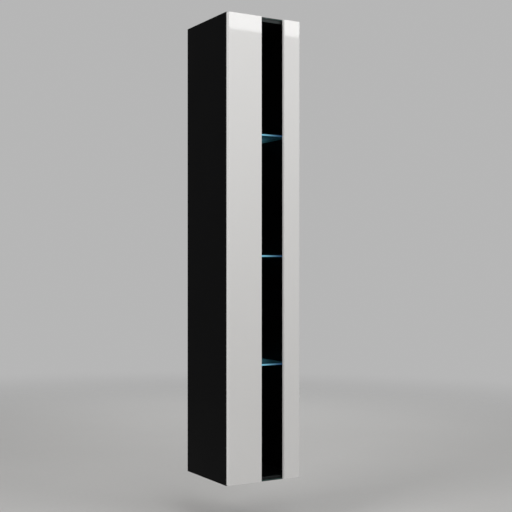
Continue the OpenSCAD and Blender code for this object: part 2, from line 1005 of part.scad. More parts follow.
module push_latch_screws() {
    color("#c2c4c6")
    for (z = latch_zs, y = latch_screw_depths)
        translate([inner_half - latch_foot_t - latch_head_t, -y, z + latch_foot_z])
            rotate([0, 90, 0])
                flat_screw(latch_head_r, latch_screw_r, latch_screw_l, latch_head_t);
}

module push_latch_strikes() {
    color("#c4c6c8")
    for (z = latch_zs)
        translate([latch_x, -door_back, z])
            rotate([-90, 0, 0])
                difference() {
                    cylinder(r = strike_r, h = strike_t);
                    translate([0, 0, -cut]) cylinder(r = strike_screw_r, h = strike_t + 2 * cut);
                }
}

module strike_screws() {
    color("#c2c4c6")
    for (z = latch_zs)
        bar_y([latch_x, -door_back - strike_screw_l, z],
            strike_screw_r, strike_screw_l + strike_t);
}

module door_bumpers() {
    color("#d7dde0", 0.7)
    for (z = bumper_zs)
        translate([half_w - board / 2, -carcass_d, z])
            rotate([90, 0, 0]) cylinder(r = bumper_r, h = bumper_t);
}

left_side_panel();
right_side_panel();
top_panel();
bottom_panel();
back_panel();
side_edge_bands();
cross_edge_bands();
corner_dowels();
cam_locks();
cam_bolts();
cam_caps();
hanger_housings();
hanger_hooks();
hanger_adjusting_screws();
hanger_covers();
hanger_side_screws();
wall_plates();
cable_grommets();
lower_glass_shelf();
middle_glass_shelf();
upper_glass_shelf();
shelf_pins();
shelf_pads();
shelf_light_clips();
shelf_light_lenses();
shelf_light_screws();
door_wide_strip();
door_narrow_strip();
door_glass_pane();
glass_bonding_tapes();
glass_clips();
glass_clip_screws();
hinge_cups();
hinge_pivot_pins();
hinge_cup_screws();
hinge_arms();
hinge_mounting_plates();
hinge_plate_screws();
hinge_fixing_screws();
hinge_side_adjusters();
hinge_arm_covers();
push_latch_housings();
push_latch_plungers();
push_latch_tips();
push_latch_screws();
push_latch_strikes();
strike_screws();
door_bumpers();
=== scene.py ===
"""Tall wall-hung display cabinet, finished on its CAD frame.

Each operator makes one piece, or one group of like pieces: its shape, its finish and the body
that it moves with. Lengths are in metres, +Z is up, and the cabinet faces -Y.
"""

import json
import math

import bmesh
import bpy
from bpy.props import FloatProperty, FloatVectorProperty, IntProperty, PointerProperty
from mathutils import Matrix, Vector


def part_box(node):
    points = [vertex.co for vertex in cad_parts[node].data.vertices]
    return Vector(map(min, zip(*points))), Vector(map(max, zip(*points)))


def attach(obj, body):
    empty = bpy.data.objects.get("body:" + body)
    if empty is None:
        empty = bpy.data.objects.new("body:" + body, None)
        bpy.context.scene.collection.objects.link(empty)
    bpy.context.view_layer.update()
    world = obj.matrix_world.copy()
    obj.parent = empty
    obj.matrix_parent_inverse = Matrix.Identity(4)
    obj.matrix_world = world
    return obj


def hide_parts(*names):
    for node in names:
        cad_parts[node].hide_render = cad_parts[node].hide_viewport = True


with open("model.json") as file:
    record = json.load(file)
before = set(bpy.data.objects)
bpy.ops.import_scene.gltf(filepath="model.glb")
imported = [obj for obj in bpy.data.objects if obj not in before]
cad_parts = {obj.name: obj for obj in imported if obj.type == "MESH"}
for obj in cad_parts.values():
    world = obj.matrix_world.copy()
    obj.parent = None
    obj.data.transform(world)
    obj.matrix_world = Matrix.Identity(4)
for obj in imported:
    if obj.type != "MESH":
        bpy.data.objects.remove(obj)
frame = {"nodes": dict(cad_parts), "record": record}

bl_info = {
    "name": "Wall Display Cabinet",
    "version": (1, 0, 0),
    "blender": (4, 5, 0),
    "location": "View3D > Sidebar > Cabinet",
    "description": "Makes the finished pieces of a tall wall-hung display cabinet",
    "category": "Object",
}

MM = 0.001
X, Y, Z = range(3)
UP = Vector((0, 0, 1))
RIGHT = Vector((1, 0, 0))
FRONT = Vector((0, -1, 0))
REAR = -FRONT
TOUCH = 0.02 * MM  # closer than this counts as on the same plane
SQUARE = 0.9  # a normal's share along an axis, from which a face lies square to it
SLANT = 0.5  # the same for a face and its chamfers

BODY_OF = {
    node: body
    for body, nodes in frame["record"]["behaviour"]["bodies"].items()
    for node in nodes
}


# ---- Sizes, colours and light that a user would change ----


def length(name, description, default):
    return FloatProperty(name=name, description=description, default=default, unit="LENGTH")


def colour(name, description, default):
    return FloatVectorProperty(
        name=name, description=description, default=default, size=3, subtype="COLOR", min=0, max=1
    )


class CabinetSizes(bpy.types.PropertyGroup):
    board_arris: length("Board arris", "Radius on the black boards' edges", 0.3 * MM)
    band_arris: length("Band arris", "Radius on the edge bands' front edges", 0.7 * MM)
    lacquer_arris: length("Lacquer arris", "Radius on the gloss strips' edges", 0.8 * MM)
    glass_chamfer: length("Glass chamfer", "Width of the ground chamfer on glass", 0.6 * MM)
    metal_arris: length("Metal arris", "Radius on pressed and cast metal", 0.25 * MM)
    plastic_arris: length("Plastic arris", "Radius on moulded plastic", 0.5 * MM)
    dowel_flutes: IntProperty(
        name="Dowel flutes", description="Glue flutes round each dowel", default=18, min=6
    )
    lamps: IntProperty(
        name="Lamps", description="Light-emitting chips in each shelf light", default=6, min=1
    )


class CabinetColours(bpy.types.PropertyGroup):
    laminate: colour("Laminate", "Matt black of the boards", (0.0018, 0.0018, 0.0020))
    lacquer: colour("Lacquer", "High-gloss white of the door strips", (0.82, 0.813, 0.801))
    hardboard: colour("Hardboard", "Pressed fibres of the back's rear face", (0.105, 0.066, 0.040))
    chipboard: colour("Chipboard", "Raw core at the boards' rear edges", (0.46, 0.33, 0.20))
    beech: colour("Beech", "Wood of the dowels", (0.60, 0.40, 0.22))
    glass_edge: colour("Glass edge", "Green of ground glass edges", (0.12, 0.30, 0.26))
    glow_left: colour("Left glow", "Shelf light at the left end", (0.30, 0.75, 0.96))
    glow_right: colour("Right glow", "Shelf light at the right end", (0.018, 0.050, 0.118))


class CabinetStage(bpy.types.PropertyGroup):
    floor_drop: length("Floor drop", "Height of the underside above the floor", 196 * MM)
    backdrop: FloatProperty(
        name="Backdrop", description="Brightness of the background", default=0.47, min=0
    )
    ambient: FloatProperty(
        name="Ambient", description="Brightness of the light from all round", default=0.24, min=0
    )
    softbox_power: FloatProperty(
        name="Softbox", description="Power of the high front softbox", default=70, subtype="POWER"
    )
    wash_power: FloatProperty(
        name="Wash", description="Power of the light on the left", default=60, subtype="POWER"
    )
    fill_power: FloatProperty(
        name="Rear fill", description="Power of the light behind", default=45, subtype="POWER"
    )
    lens: FloatProperty(
        name="Lens", description="Focal length for a 36 mm frame", default=66.4, min=1
    )


# ---- Node trees written as Python sums ----

WAVE_UNIT = math.pi / 10  # the Wave scale at which bands repeat once in a metre


class Wire:
    """An output socket that can be used in a sum: each operator adds one Math node."""

    def __init__(self, graph, socket):
        self.graph = graph
        self.socket = socket

    def sum(self, operation, first, second):
        return self.graph.add("ShaderNodeMath", {"operation": operation}, {0: first, 1: second})

    def __add__(self, other):
        return self.sum("ADD", self, other)

    __radd__ = __add__

    def __sub__(self, other):
        return self.sum("SUBTRACT", self, other)

    def __rsub__(self, other):
        return self.sum("SUBTRACT", other, self)

    def __mul__(self, other):
        return self.sum("MULTIPLY", self, other)

    __rmul__ = __mul__

    def __truediv__(self, other):
        return self.sum("DIVIDE", self, other)

    def ramp(self, low, high):
        """0 below low and 1 above high, with a smooth rise between."""
        return self.graph.add(
            "ShaderNodeMapRange",
            {"interpolation_type": "SMOOTHSTEP"},
            {"Value": self, "From Min": low, "From Max": high},
        )


class Graph:
    """A node tree that is filled from Python."""

    def __init__(self, tree):
        self.tree = tree
        tree.nodes.clear()

    def add(self, kind, settings=None, sockets=None, output=0):
        node = self.tree.nodes.new(kind)
        for name, value in (settings or {}).items():
            setattr(node, name, value)
        for key, value in (sockets or {}).items():
            self.feed(node.inputs[key], value)
        return Wire(self, node.outputs[output]) if len(node.outputs) else node

    def feed(self, socket, value):
        if isinstance(value, Wire):
            self.tree.links.new(value.socket, socket)
        elif isinstance(value, list):
            for item in value:
                self.feed(socket, item)
        elif socket.type == "RGBA" and len(value) == 3:
            socket.default_value = (*value, 1)
        else:
            socket.default_value = value


class Finish(Graph):
    """One material. Its patterns lie on the piece's own Object coordinates."""

    def __init__(self, name):
        self.material = bpy.data.materials.new(name)
        self.material.use_nodes = True
        super().__init__(self.material.node_tree)
        self.place = self.add("ShaderNodeTexCoord", output="Object")

    def stretched(self, stretch):
        return self.add("ShaderNodeMapping", {}, {"Vector": self.place, "Scale": stretch})

    def noise(self, scale, detail=2.0, stretch=(1, 1, 1), twist=0.0):
        """Soft noise from 0 to 1, with scale waves in a metre."""
        sockets = {"Vector": self.stretched(stretch), "Scale": scale, "Detail": detail}
        return self.add("ShaderNodeTexNoise", {}, {**sockets, "Distortion": twist})

    def cells(self, scale, stretch=(1, 1, 1), output="Distance"):
        sockets = {"Vector": self.stretched(stretch), "Scale": scale}
        return self.add("ShaderNodeTexVoronoi", {}, sockets, output)

    def chips(self, scale, stretch=(1, 1, 1)):
        """A random number from 0 to 1 for each cell."""
        return self.add(
            "ShaderNodeSeparateColor", {}, {"Color": self.cells(scale, stretch, "Color")}
        )

    def ribs(self, scale, along, twist=0.0):
        """Bands across one axis, with scale waves in a metre."""
        settings = {"wave_type": "BANDS", "bands_direction": along}
        sockets = {"Vector": self.place, "Scale": scale * WAVE_UNIT, "Distortion": twist}
        return self.add("ShaderNodeTexWave", settings, sockets, "Fac")

    def axis(self, name):
        return self.add("ShaderNodeSeparateXYZ", {}, {"Vector": self.place}, name)

    def reach_squared(self):
        """The square of the distance from the vertical line through the origin."""
        x, y = self.axis("X"), self.axis("Y")
        return x * x + y * y

    def mark(self, name):
        """A number that the piece's mesh carries on its faces."""
        return self.add("ShaderNodeAttribute", {"attribute_name": name}, {}, "Fac")

    def mix(self, share, low, high):
        return self.add("ShaderNodeMix", {"data_type": "RGBA"}, {0: share, 6: low, 7: high}, 2)

    def bump(self, height, depth, strength=1.0):
        sockets = {"Height": height, "Distance": depth, "Strength": strength}
        return self.add("ShaderNodeBump", {}, sockets)

    def principled(self, sockets):
        return self.add("ShaderNodeBsdfPrincipled", {}, sockets)

    def done(self, shader):
        self.add("ShaderNodeOutputMaterial", {}, {"Surface": shader})
        return self.material

    def surface(self, sockets):
        """The whole material, from the sockets of one Principled shader."""
        return self.done(self.principled(sockets))


# ---- Finishes ----


def colours():
    return bpy.context.scene.cabinet_colours


def shaded(value, share):
    """A colour made darker by a share below 1, or paler by one above 1."""
    return tuple(channel * share for channel in value)


def black_finish(name, base, sheen, pearl_depth, level):
    """Matt black foil: a fine pearl, clouds in its sheen and paler rubbed arrises."""
    f = Finish(name)
    pearl = f.noise(1300)
    mottle = f.noise(240, 3)
    cloud = f.noise(5, 3)
    rubbed = f.mark("arris") * f.noise(60, 4).ramp(0.45, 0.7)
    worn = tuple(channel + 0.012 for channel in base)
    tone = f.mix(cloud * 0.5, base, shaded(base, 0.7))
    return f.surface(
        {
            "Base Color": f.mix(rubbed, tone, worn),
            "Roughness": sheen + cloud * 0.10 + pearl * 0.06 - rubbed * 0.08,
            "Normal": f.bump(pearl * 0.7 + mottle * 0.3, pearl_depth),
            "Specular IOR Level": level,
        }
    )


def matt_laminate():
    return black_finish(
        "matt_laminate", colours().laminate, sheen=0.42, pearl_depth=0.05 * MM, level=0.06
    )


def edge_banding():
    paler = shaded(colours().laminate, 2.8)
    return black_finish("edge_banding", paler, sheen=0.38, pearl_depth=0.02 * MM, level=0.42)


def raw_chipboard():
    """Pressed chips in several browns; the small voids between them get painted shade."""
    f = Finish("raw_chipboard")
    flake = f.chips(700, (1, 1, 0.35))
    cross_flake = f.chips(900, (0.4, 1, 1))
    fine = f.chips(2600, (1, 1, 0.7))
    pit_and_shade = f.noise(1100, 3, (1, 1, 0.6), 0.8).ramp(0.60, 0.70)
    cloud = f.noise(25, 3)
    paleness = flake * 0.35 + cross_flake * 0.30 + fine * 0.20 + cloud * 0.15
    wood = f.mix(paleness, shaded(colours().chipboard, 0.62), colours().chipboard)
    return f.surface(
        {
            # painted shade: the pit mask dents the voids in the bump and darkens their colour to
            # stand in for the shade inside them
            "Base Color": f.mix(pit_and_shade * 0.7, wood, shaded(colours().chipboard, 0.22)),
            "Roughness": 0.82 + fine * 0.12,
            "Normal": f.bump(flake * 0.4 + cross_flake * 0.3 - pit_and_shade * 0.8, 0.18 * MM),
            "Specular IOR Level": 0.25,
        }
    )


def screen_hardboard():
    """The rear of hardboard: dark pressed fibres with the weave of the press screen."""
    f = Finish("screen_hardboard")
    weave = f.ribs(520, "X", 0.6) * f.ribs(520, "Z", 0.6)
    fibre = f.noise(420, 4, (1, 1, 0.25), 1.5)
    cloud = f.noise(9, 3)
    tone = f.mix(fibre * 0.8, shaded(colours().hardboard, 0.45), colours().hardboard)
    return f.surface(
        {
            "Base Color": f.mix(cloud * 0.4, tone, shaded(colours().hardboard, 0.6)),
            "Roughness": 0.74 + fibre * 0.16,
            "Normal": f.bump(weave * 0.6 + fibre * 0.4, 0.12 * MM),
            "Specular IOR Level": 0.2,
        }
    )


def gloss_lacquer():
    """White lacquer under a clear coat: faint orange peel, hand marks and a rubbed arris."""
    f = Finish("gloss_lacquer")
    peel = f.noise(170, 2)
    smear = f.noise(11, 4, (1, 1, 0.4), 0.8).ramp(0.52, 0.72)
    dust = f.cells(95).ramp(0.030, 0.018)
    rubbed = f.mark("arris")
    cloud = f.noise(3, 2)
    tone = f.mix(cloud * 0.5, colours().lacquer, shaded(colours().lacquer, 0.97))
    return f.surface(
        {
            "Base Color": f.mix(dust * 0.25, tone, shaded(colours().lacquer, 0.8)),
            "Roughness": 0.035 + smear * 0.02 + dust * 0.2 + rubbed * 0.03,
            "Normal": f.bump(peel, 0.010 * MM),
            "IOR": 1.5,
        }
    )


def satin_back():
    """The white foil on the rear of the strips, satin and a little greyer than the front."""
    f = Finish("satin_back")
    grain = f.noise(900, 3)
    cloud = f.noise(6, 3)
    return f.surface(
        {
            "Base Color": f.mix(cloud, shaded(colours().lacquer, 0.93), colours().lacquer),
            "Roughness": 0.30 + grain * 0.10 + cloud * 0.05,
            "Normal": f.bump(grain, 0.03 * MM),
        }
    )


def clear_sheet(name, tint, index, glow=None):
    """Clear glass as its two faces: light passes straight on, and each face mirrors a little.

    glow gives the shelves' inner light: its colour far from the lamp and its colour near it.
    """
    f = Finish(name)
    smear = f.noise(13, 4, (1, 1, 0.5), 1.0).ramp(0.55, 0.8)
    haze = f.noise(700, 2)
    clean, hazy = (0.0, 0.0, 0.0), (0.012, 0.016, 0.016)
    face = {
        "Base Color": f.mix(haze, clean, hazy),
        "Roughness": 0.01 + smear * 0.03,
        "Normal": f.bump(f.noise(9, 1), 0.02 * MM),
        "IOR": 1.5,
    }
    if glow is not None:
        near = f.reach_squared().ramp(0.055, 0.0)
        face["Emission Color"] = f.mix(near, *glow)
        face["Emission Strength"] = 1.0
    share = f.add("ShaderNodeFresnel", {}, {"IOR": index}) + smear * 0.004
    clear = f.add("ShaderNodeBsdfTransparent", {}, {"Color": tint})
    return f.done(f.add("ShaderNodeMixShader", {}, {0: share, 1: clear, 2: f.principled(face)}))


def pane_glass():
    tint = (0.955, 0.985, 0.985)
    return clear_sheet("clear_pane", tint, index=1.12)


def shelf_glass():
    tint = (0.93, 0.975, 0.985)
    far_glow, near_glow = (0.003, 0.011, 0.017), (0.034, 0.115, 0.150)
    return clear_sheet("clear_shelf", tint, index=1.16, glow=(far_glow, near_glow))


def ground_edge():
    """The ground and polished edge of clear glass, green with depth."""
    f = Finish("ground_edge")
    grind = f.noise(900, 2, (1, 1, 0.05))
    depth = f.noise(30, 2)
    return f.surface(
        {
            "Base Color": f.mix(depth, colours().glass_edge, shaded(colours().glass_edge, 0.5)),
            "Roughness": 0.10 + grind * 0.16,
            "Normal": f.bump(grind, 0.02 * MM),
            "IOR": 1.5,
        }
    )


def lit_edge():
    """The front edge of a shelf, where the light leaves the glass: cyan, fading to blue."""
    f = Finish("lit_edge")
    across = f.axis("X").ramp(-0.035, 0.100)
    streak = f.noise(60, 3, (1, 0.1, 0.1))
    glow = f.mix(across, colours().glow_left, colours().glow_right)
    dim = shaded(colours().glow_right, 0.5)
    clear, frosted = (0.02, 0.06, 0.08), (0.04, 0.10, 0.12)
    return f.surface(
        {
            "Base Color": f.mix(streak, clear, frosted),
            "Roughness": 0.12 + streak * 0.12,
            "Normal": f.bump(streak, 0.03 * MM),
            "Emission Color": f.mix(streak * 0.25, glow, dim),
            "Emission Strength": 1.0,
        }
    )


def metal(name, pale, deep, shine, stretch, depth, grain_scale=1100):
    """Bare or plated metal: fine marks along one way, cloudy plating and brighter arrises.

    shine is the lowest roughness.
    """
    f = Finish(name)
    marks = f.noise(grain_scale, 3, stretch)
    cloud = f.noise(140, 3, twist=0.5)
    bright = f.mark("arris")
    tone = f.mix(cloud.ramp(0.3, 0.7), deep, pale)
    return f.surface(
        {
            "Base Color": f.mix(bright * 0.5, tone, pale),
            "Roughness": shine + marks * 0.14 + cloud * 0.08 - bright * 0.05,
            "Normal": f.bump(marks, depth),
            "Metallic": 1.0,
        }
    )


def nickel_plate():
    pale, deep = (0.72, 0.70, 0.66), (0.58, 0.56, 0.53)
    return metal("nickel_finish", pale, deep, shine=0.13, stretch=(1, 0.08, 1), depth=0.008 * MM)


def plated_steel():
    pale, deep = (0.66, 0.68, 0.70), (0.56, 0.55, 0.47)
    return metal("plated_finish", pale, deep, shine=0.20, stretch=(1, 1, 0.2), depth=0.010 * MM)


def cast_zinc():
    pale, deep = (0.52, 0.53, 0.54), (0.36, 0.37, 0.38)
    return metal("cast_zinc", pale, deep, 0.34, (1, 1, 1), depth=0.05 * MM, grain_scale=800)


def moulded(name, base, sheen, depth, grain_scale=900.0, level=0.5):
    """Moulded plastic or rubber with a spark-eroded grain and rubbed arrises.

    sheen is the lowest roughness, and level is how strongly the surface mirrors.
    """
    f = Finish(name)
    grain = f.noise(grain_scale, 3)
    flow = f.noise(45, 2, (1, 1, 0.3))
    rubbed = f.mark("arris")
    light = tuple(channel * 1.3 + 0.004 for channel in base)
    return f.surface(
        {
            "Base Color": f.mix(rubbed * 0.6 + flow * 0.25, base, light),
            "Roughness": sheen + grain * 0.12 - rubbed * 0.08,
            "Normal": f.bump(grain, depth),
            "Specular IOR Level": level,
            "IOR": 1.48,
        }
    )


def black_plastic():
    black = (0.011, 0.011, 0.012)
    return moulded("black_moulding", black, sheen=0.40, depth=0.03 * MM, level=0.16)


def white_plastic():
    white = (0.70, 0.71, 0.71)
    return moulded("white_moulding", white, sheen=0.32, depth=0.02 * MM)


def grey_rubber():
    grey = (0.045, 0.046, 0.050)
    return moulded("soft_tip", grey, sheen=0.62, depth=0.05 * MM, grain_scale=1400)


def foam_tape():
    black = (0.010, 0.010, 0.011)
    return moulded("foam_tape", black, sheen=0.78, depth=0.12 * MM, grain_scale=2200)


def clear_silicone():
    """Clear soft silicone: cloudy inside, with a dull skin that holds dust."""
    f = Finish("soft_silicone")
    cloud = f.noise(320, 3)
    dust = f.noise(1400, 2).ramp(0.55, 0.75)
    clean, dusty = (0.82, 0.86, 0.88), (0.60, 0.60, 0.58)
    return f.surface(
        {
            "Base Color": f.mix(dust * 0.4, clean, dusty),
            "Roughness": 0.22 + cloud * 0.14 + dust * 0.20,
            "Normal": f.bump(cloud, 0.03 * MM),
            "Transmission Weight": 0.55,
            "IOR": 1.41,
        }
    )


def beech():
    """Turned beech: long grain, short dark rays and a dry surface."""
    f = Finish("turned_beech")
    grain = f.noise(420, 4, (0.06, 1, 1), 0.4)
    ray = f.cells(900, (0.18, 1, 1)).ramp(0.20, 0.10)
    wood = f.mix(grain.ramp(0.3, 0.7), shaded(colours().beech, 0.72), colours().beech)
    return f.surface(
        {
            "Base Color": f.mix(ray * 0.4, wood, shaded(colours().beech, 0.45)),
            "Roughness": 0.62 + grain * 0.2,
            "Normal": f.bump(grain, 0.06 * MM),
        }
    )


def frosted_lens():
    """Frosted cover of a shelf light, lit from behind by its row of chips."""
    f = Finish("frosted_lens")
    frost = f.noise(1600, 2)
    low, high = solids("shelf_light_lenses")[0]
    bands = 3
    spots = f.ribs(bands / (high.x - low.x), "X")
    dim, bright = (0.45, 0.85, 1.0), (0.75, 0.97, 1.0)
    return f.surface(
        {
            "Base Color": (0.75, 0.85, 0.9),
            "Roughness": 0.45 + frost * 0.2,
            "Normal": f.bump(frost, 0.02 * MM),
            "Emission Color": f.mix(spots * 0.6, dim, bright),
            "Emission Strength": 2.2,
        }
    )


def lamp_chip():
    """The yellow-white phosphor of a light-emitting chip."""
    f = Finish("lamp_chip")
    phosphor = f.noise(2400, 2)
    deep, pale = (0.75, 0.70, 0.25), (0.85, 0.80, 0.40)
    cool, hot = (0.55, 0.9, 1.0), (0.8, 0.98, 1.0)
    return f.surface(
        {
            "Base Color": f.mix(phosphor, deep, pale),
            "Roughness": 0.35 + phosphor * 0.2,
            "Emission Color": f.mix(phosphor, cool, hot),
            "Emission Strength": 5.0,
        }
    )


MADE = {}


def finish(maker):
    """The material that a maker function makes, made once."""
    made = bpy.data.materials.get(MADE.get(maker.__name__, ""))
    if made is None:
        made = maker()
        MADE[maker.__name__] = made.name
    return made


# ---- Shapes ----

SAME_POINT = 0.001 * MM
SAME_PLANE = math.radians(0.3)
LEAST_BEND = 0.01  # radians: below this, two faces lie in one plane


def copy_of(node):
    """A CAD node's shape, with its loose triangles merged into whole faces."""
    shape = bmesh.new()
    shape.from_mesh(frame["nodes"][node].data)
    shape.faces.layers.float.new("arris")
    bmesh.ops.remove_doubles(shape, verts=shape.verts, dist=SAME_POINT)
    bmesh.ops.dissolve_limit(shape, angle_limit=SAME_PLANE, verts=shape.verts, edges=shape.edges)
    for face in shape.faces:
        face.material_index = 0
    return shape


def ease(shape, width, segments=2, least=0.0, keep=None, corner=28):
    """Rounds the outer edges that are sharper than corner degrees and longer than least.

    keep says which edges stay sharp. The new faces carry the mark "arris".
    """
    layer = shape.faces.layers.float["arris"]
    edges = [
        edge
        for edge in shape.edges
        if edge.is_manifold
        and edge.is_convex
        and edge.calc_face_angle(0) > math.radians(corner)
        and edge.calc_length() >= least
        and not (keep and keep(edge))
    ]
    made = bmesh.ops.bevel(
        shape,
        geom=edges,
        offset=width,
        offset_type="OFFSET",
        segments=segments,
        profile=0.5,
        affect="EDGES",
        clamp_overlap=False,
    )
    for face in made["faces"]:
        face[layer] = 1.0
    return shape


def middle(edge):
    return (edge.verts[0].co + edge.verts[1].co) / 2


def solids(node):
    """The low and high corners of each separate solid of a CAD node."""
    shape = copy_of(node)
    left = set(shape.verts)
    found = []
    while left:
        group = {left.pop()}
        front = list(group)
        while front:
            for edge in front.pop().link_edges:
                for vert in edge.verts:
                    if vert in left:
                        left.discard(vert)
                        group.add(vert)
                        front.append(vert)
        low = Vector([min(vert.co[i] for vert in group) for i in (X, Y, Z)])
        high = Vector([max(vert.co[i] for vert in group) for i in (X, Y, Z)])
        found.append((low, high))
    shape.free()
    return sorted(found, key=lambda pair: tuple(round(value, 5) for value in pair[0]))


def centre(low, high):
    return (low + high) / 2


def round_size(node, across, along):
    """The radius and the length of a node's first solid, along two axes."""
    low, high = solids(node)[0]
    return (high[across] - low[across]) / 2, high[along] - low[along]


def plain(item):
    """Replaces a piece's mesh by its finished one, with every modifier worked in."""
    bpy.context.view_layer.update()
    ready = item.evaluated_get(bpy.context.evaluated_depsgraph_get())
    mesh = bpy.data.meshes.new_from_object(ready)
    old = item.data
    item.modifiers.clear()
    item.data = mesh
    bpy.data.meshes.remove(old)
    return item


def is_flat(face, arris, corner):
    """Whether a face is flat: not on a rounded edge, and in no gentle bend with another face."""
    if face[arris]:
        return False
    return not any(
        edge.is_manifold and LEAST_BEND < edge.calc_face_angle(0) < corner
        for edge in face.edges
        if not any(other[arris] for other in edge.link_faces)
    )


def shading_normal(face, vert, flat, corner):
    """A face's normal at one corner. A rounded face takes it from its largest flat neighbour."""
    if face.index in flat:
        return face.normal
    near = [other for other in vert.link_faces if other.normal.angle(face.normal, 0) < corner]
    level = [other for other in near if other.index in flat]
    if level:
        return max(level, key=lambda other: other.calc_area()).normal
    total = Vector()
    for other in near:
        total += other.normal * other.calc_area()
    return total.normalized() if total.length else face.normal


def smooth(item, bend=32, arris_bend=40):
    """Smooth shading on bends and rounded edges, with flat faces kept flat up to them.

    bend and arris_bend are in degrees. Sharper angles stay sharp.
    """
    mesh = item.data
    shape = bmesh.new()
    shape.from_mesh(mesh)
    arris = shape.faces.layers.float.get("arris") or shape.faces.layers.float.new("arris")
    bend, arris_bend = math.radians(bend), math.radians(arris_bend)
    flat = {face.index for face in shape.faces if is_flat(face, arris, bend)}
    normals = []
    for face in shape.faces:
        limit = arris_bend if face[arris] else bend
        normals += [shading_normal(face, loop.vert, flat, limit)[:] for loop in face.loops]
    shape.free()
    mesh.shade_smooth()
    mesh.normals_split_custom_set(normals)
    return item


def new_object(name, mesh, *materials):
    """An object at the origin with its finishes in its slots."""
    item = bpy.data.objects.new(name, mesh)
    bpy.context.scene.collection.objects.link(item)
    for material in materials:
        item.data.materials.append(material)
    return item


def from_shape(name, shape, *materials):
    """Turns a bmesh into an object, and frees the bmesh."""
    mesh = bpy.data.meshes.new(name)
    shape.to_mesh(mesh)
    shape.free()
    return smooth(new_object(name, mesh, *materials))


def settle(item, *nodes):
    """Gives a piece its body, and lets it stand for its CAD nodes."""
    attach(item, BODY_OF[nodes[0]])
    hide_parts(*nodes)
    return item


def paint_faces(shape, index, test):
    for face in shape.faces:
        if test(face):
            face.material_index = index


def turned(outline, steps=32, closed=False, ripple=0.0, waves=0):
    """A shape turned round +Z from an outline of (radius, height) points.

    An open outline starts and ends on the axis or gets flat ends. A closed one is a ring.
    ripple flutes the surface with a number of waves.
    """
    shape = bmesh.new()
    shape.faces.layers.float.new("arris")
    rings = []
    for radius, height in outline:
        ring = []
        for step in range(steps):
            angle = 2 * math.pi * step / steps
            reach = radius - ripple * (0.5 + 0.5 * math.cos(waves * angle))
            ring.append(shape.verts.new((reach * math.cos(angle), reach * math.sin(angle), height)))
        rings.append(ring)
    pairs = list(zip(rings, rings[1:]))
    if closed:
        pairs.append((rings[-1], rings[0]))
    for lower, upper in pairs:
        for step in range(steps):
            after = (step + 1) % steps
            shape.faces.new((lower[step], lower[after], upper[after], upper[step]))
    if not closed:
        shape.faces.new(list(reversed(rings[0])))
        shape.faces.new(rings[-1])
    bmesh.ops.recalc_face_normals(shape, faces=shape.faces)
    return shape


def rod(radius, long, chamfer):
    """The outline of a rod with chamfered ends."""
    ends = radius - chamfer
    return [(ends, 0), (radius, chamfer), (radius, long - chamfer), (ends, long)]


def dome(radius, height):
    """The outline of a low dome with a straight skirt and a small flat top."""
    steps, top, skirt = 5, 0.3, 0.35
    points = [(radius, 0)]
    for step in range(steps + 1):
        angle = 0.5 * math.pi * step / steps
        share = top + (1 - top) * math.cos(angle)
        points.append((radius * share, height * (skirt + (1 - skirt) * math.sin(angle))))
    return points


# ---- Geometry Nodes ----

SPIN_SEED = 7


def new_tree(name, inputs):
    """A Geometry Nodes tree with named inputs, and its Graph and group input."""
    tree = bpy.data.node_groups.new(name, "GeometryNodeTree")
    sockets = [("Geometry", "NodeSocketGeometry"), *inputs]
    for label, kind in sockets:
        tree.interface.new_socket(label, in_out="INPUT", socket_type=kind)
    tree.interface.new_socket("Geometry", in_out="OUTPUT", socket_type="NodeSocketGeometry")
    graph = Graph(tree)
    source = tree.nodes.new("NodeGroupInput")
    given = {label: Wire(graph, source.outputs[label]) for label, kind in sockets}
    return graph, given


def close_tree(graph, instances, material):
    """Ends a tree with real geometry that carries its material."""
    solid = graph.add("GeometryNodeRealizeInstances", {}, {"Geometry": instances})
    painted = graph.add("GeometryNodeSetMaterial", {}, {"Geometry": solid, "Material": material})
    graph.add("NodeGroupOutput", {"is_active_output": True}, {"Geometry": painted})


def on_points(graph, given, item):
    """Instances an item on every point: its +Z along the point's aim, and its own seeded turn."""
    aim = graph.add(
        "GeometryNodeInputNamedAttribute", {"data_type": "FLOAT_VECTOR"}, {"Name": "aim"}
    )
    facing = graph.add(
        "FunctionNodeAlignRotationToVector", {"axis": "Z", "pivot_axis": "AUTO"}, {"Vector": aim}
    )
    spin = graph.add(
        "FunctionNodeRandomValue",
        {"data_type": "FLOAT"},
        {"Min": 0.0, "Max": given["Spin"], "Seed": SPIN_SEED},
        1,
    )
    own_turn = graph.add("ShaderNodeCombineXYZ", {}, {"Z": spin})
    turned_item = graph.add("FunctionNodeEulerToRotation", {}, {"Euler": own_turn})
    rotation = graph.add(
        "FunctionNodeRotateRotation",
        {"rotation_space": "LOCAL"},
        {"Rotation": facing, "Rotate By": turned_item},
    )
    return graph.add(
        "GeometryNodeInstanceOnPoints",
        {},
        {"Points": given["Geometry"], "Instance": item, "Rotation": rotation},
    )


def moved(graph, geometry, height):
    shift = graph.add("ShaderNodeCombineXYZ", {}, {"Z": height})
    return graph.add("GeometryNodeTransform", {}, {"Geometry": geometry, "Translation": shift})


SCREW_SIZES = (
    "Head Radius",
    "Neck Radius",
    "Head Height",
    "Core Radius",
    "Length",
    "Tip",
    "Pitch",
    "Thread Depth",
    "Slot Length",
    "Slot Width",
    "Slot Depth",
    "Spin",
)


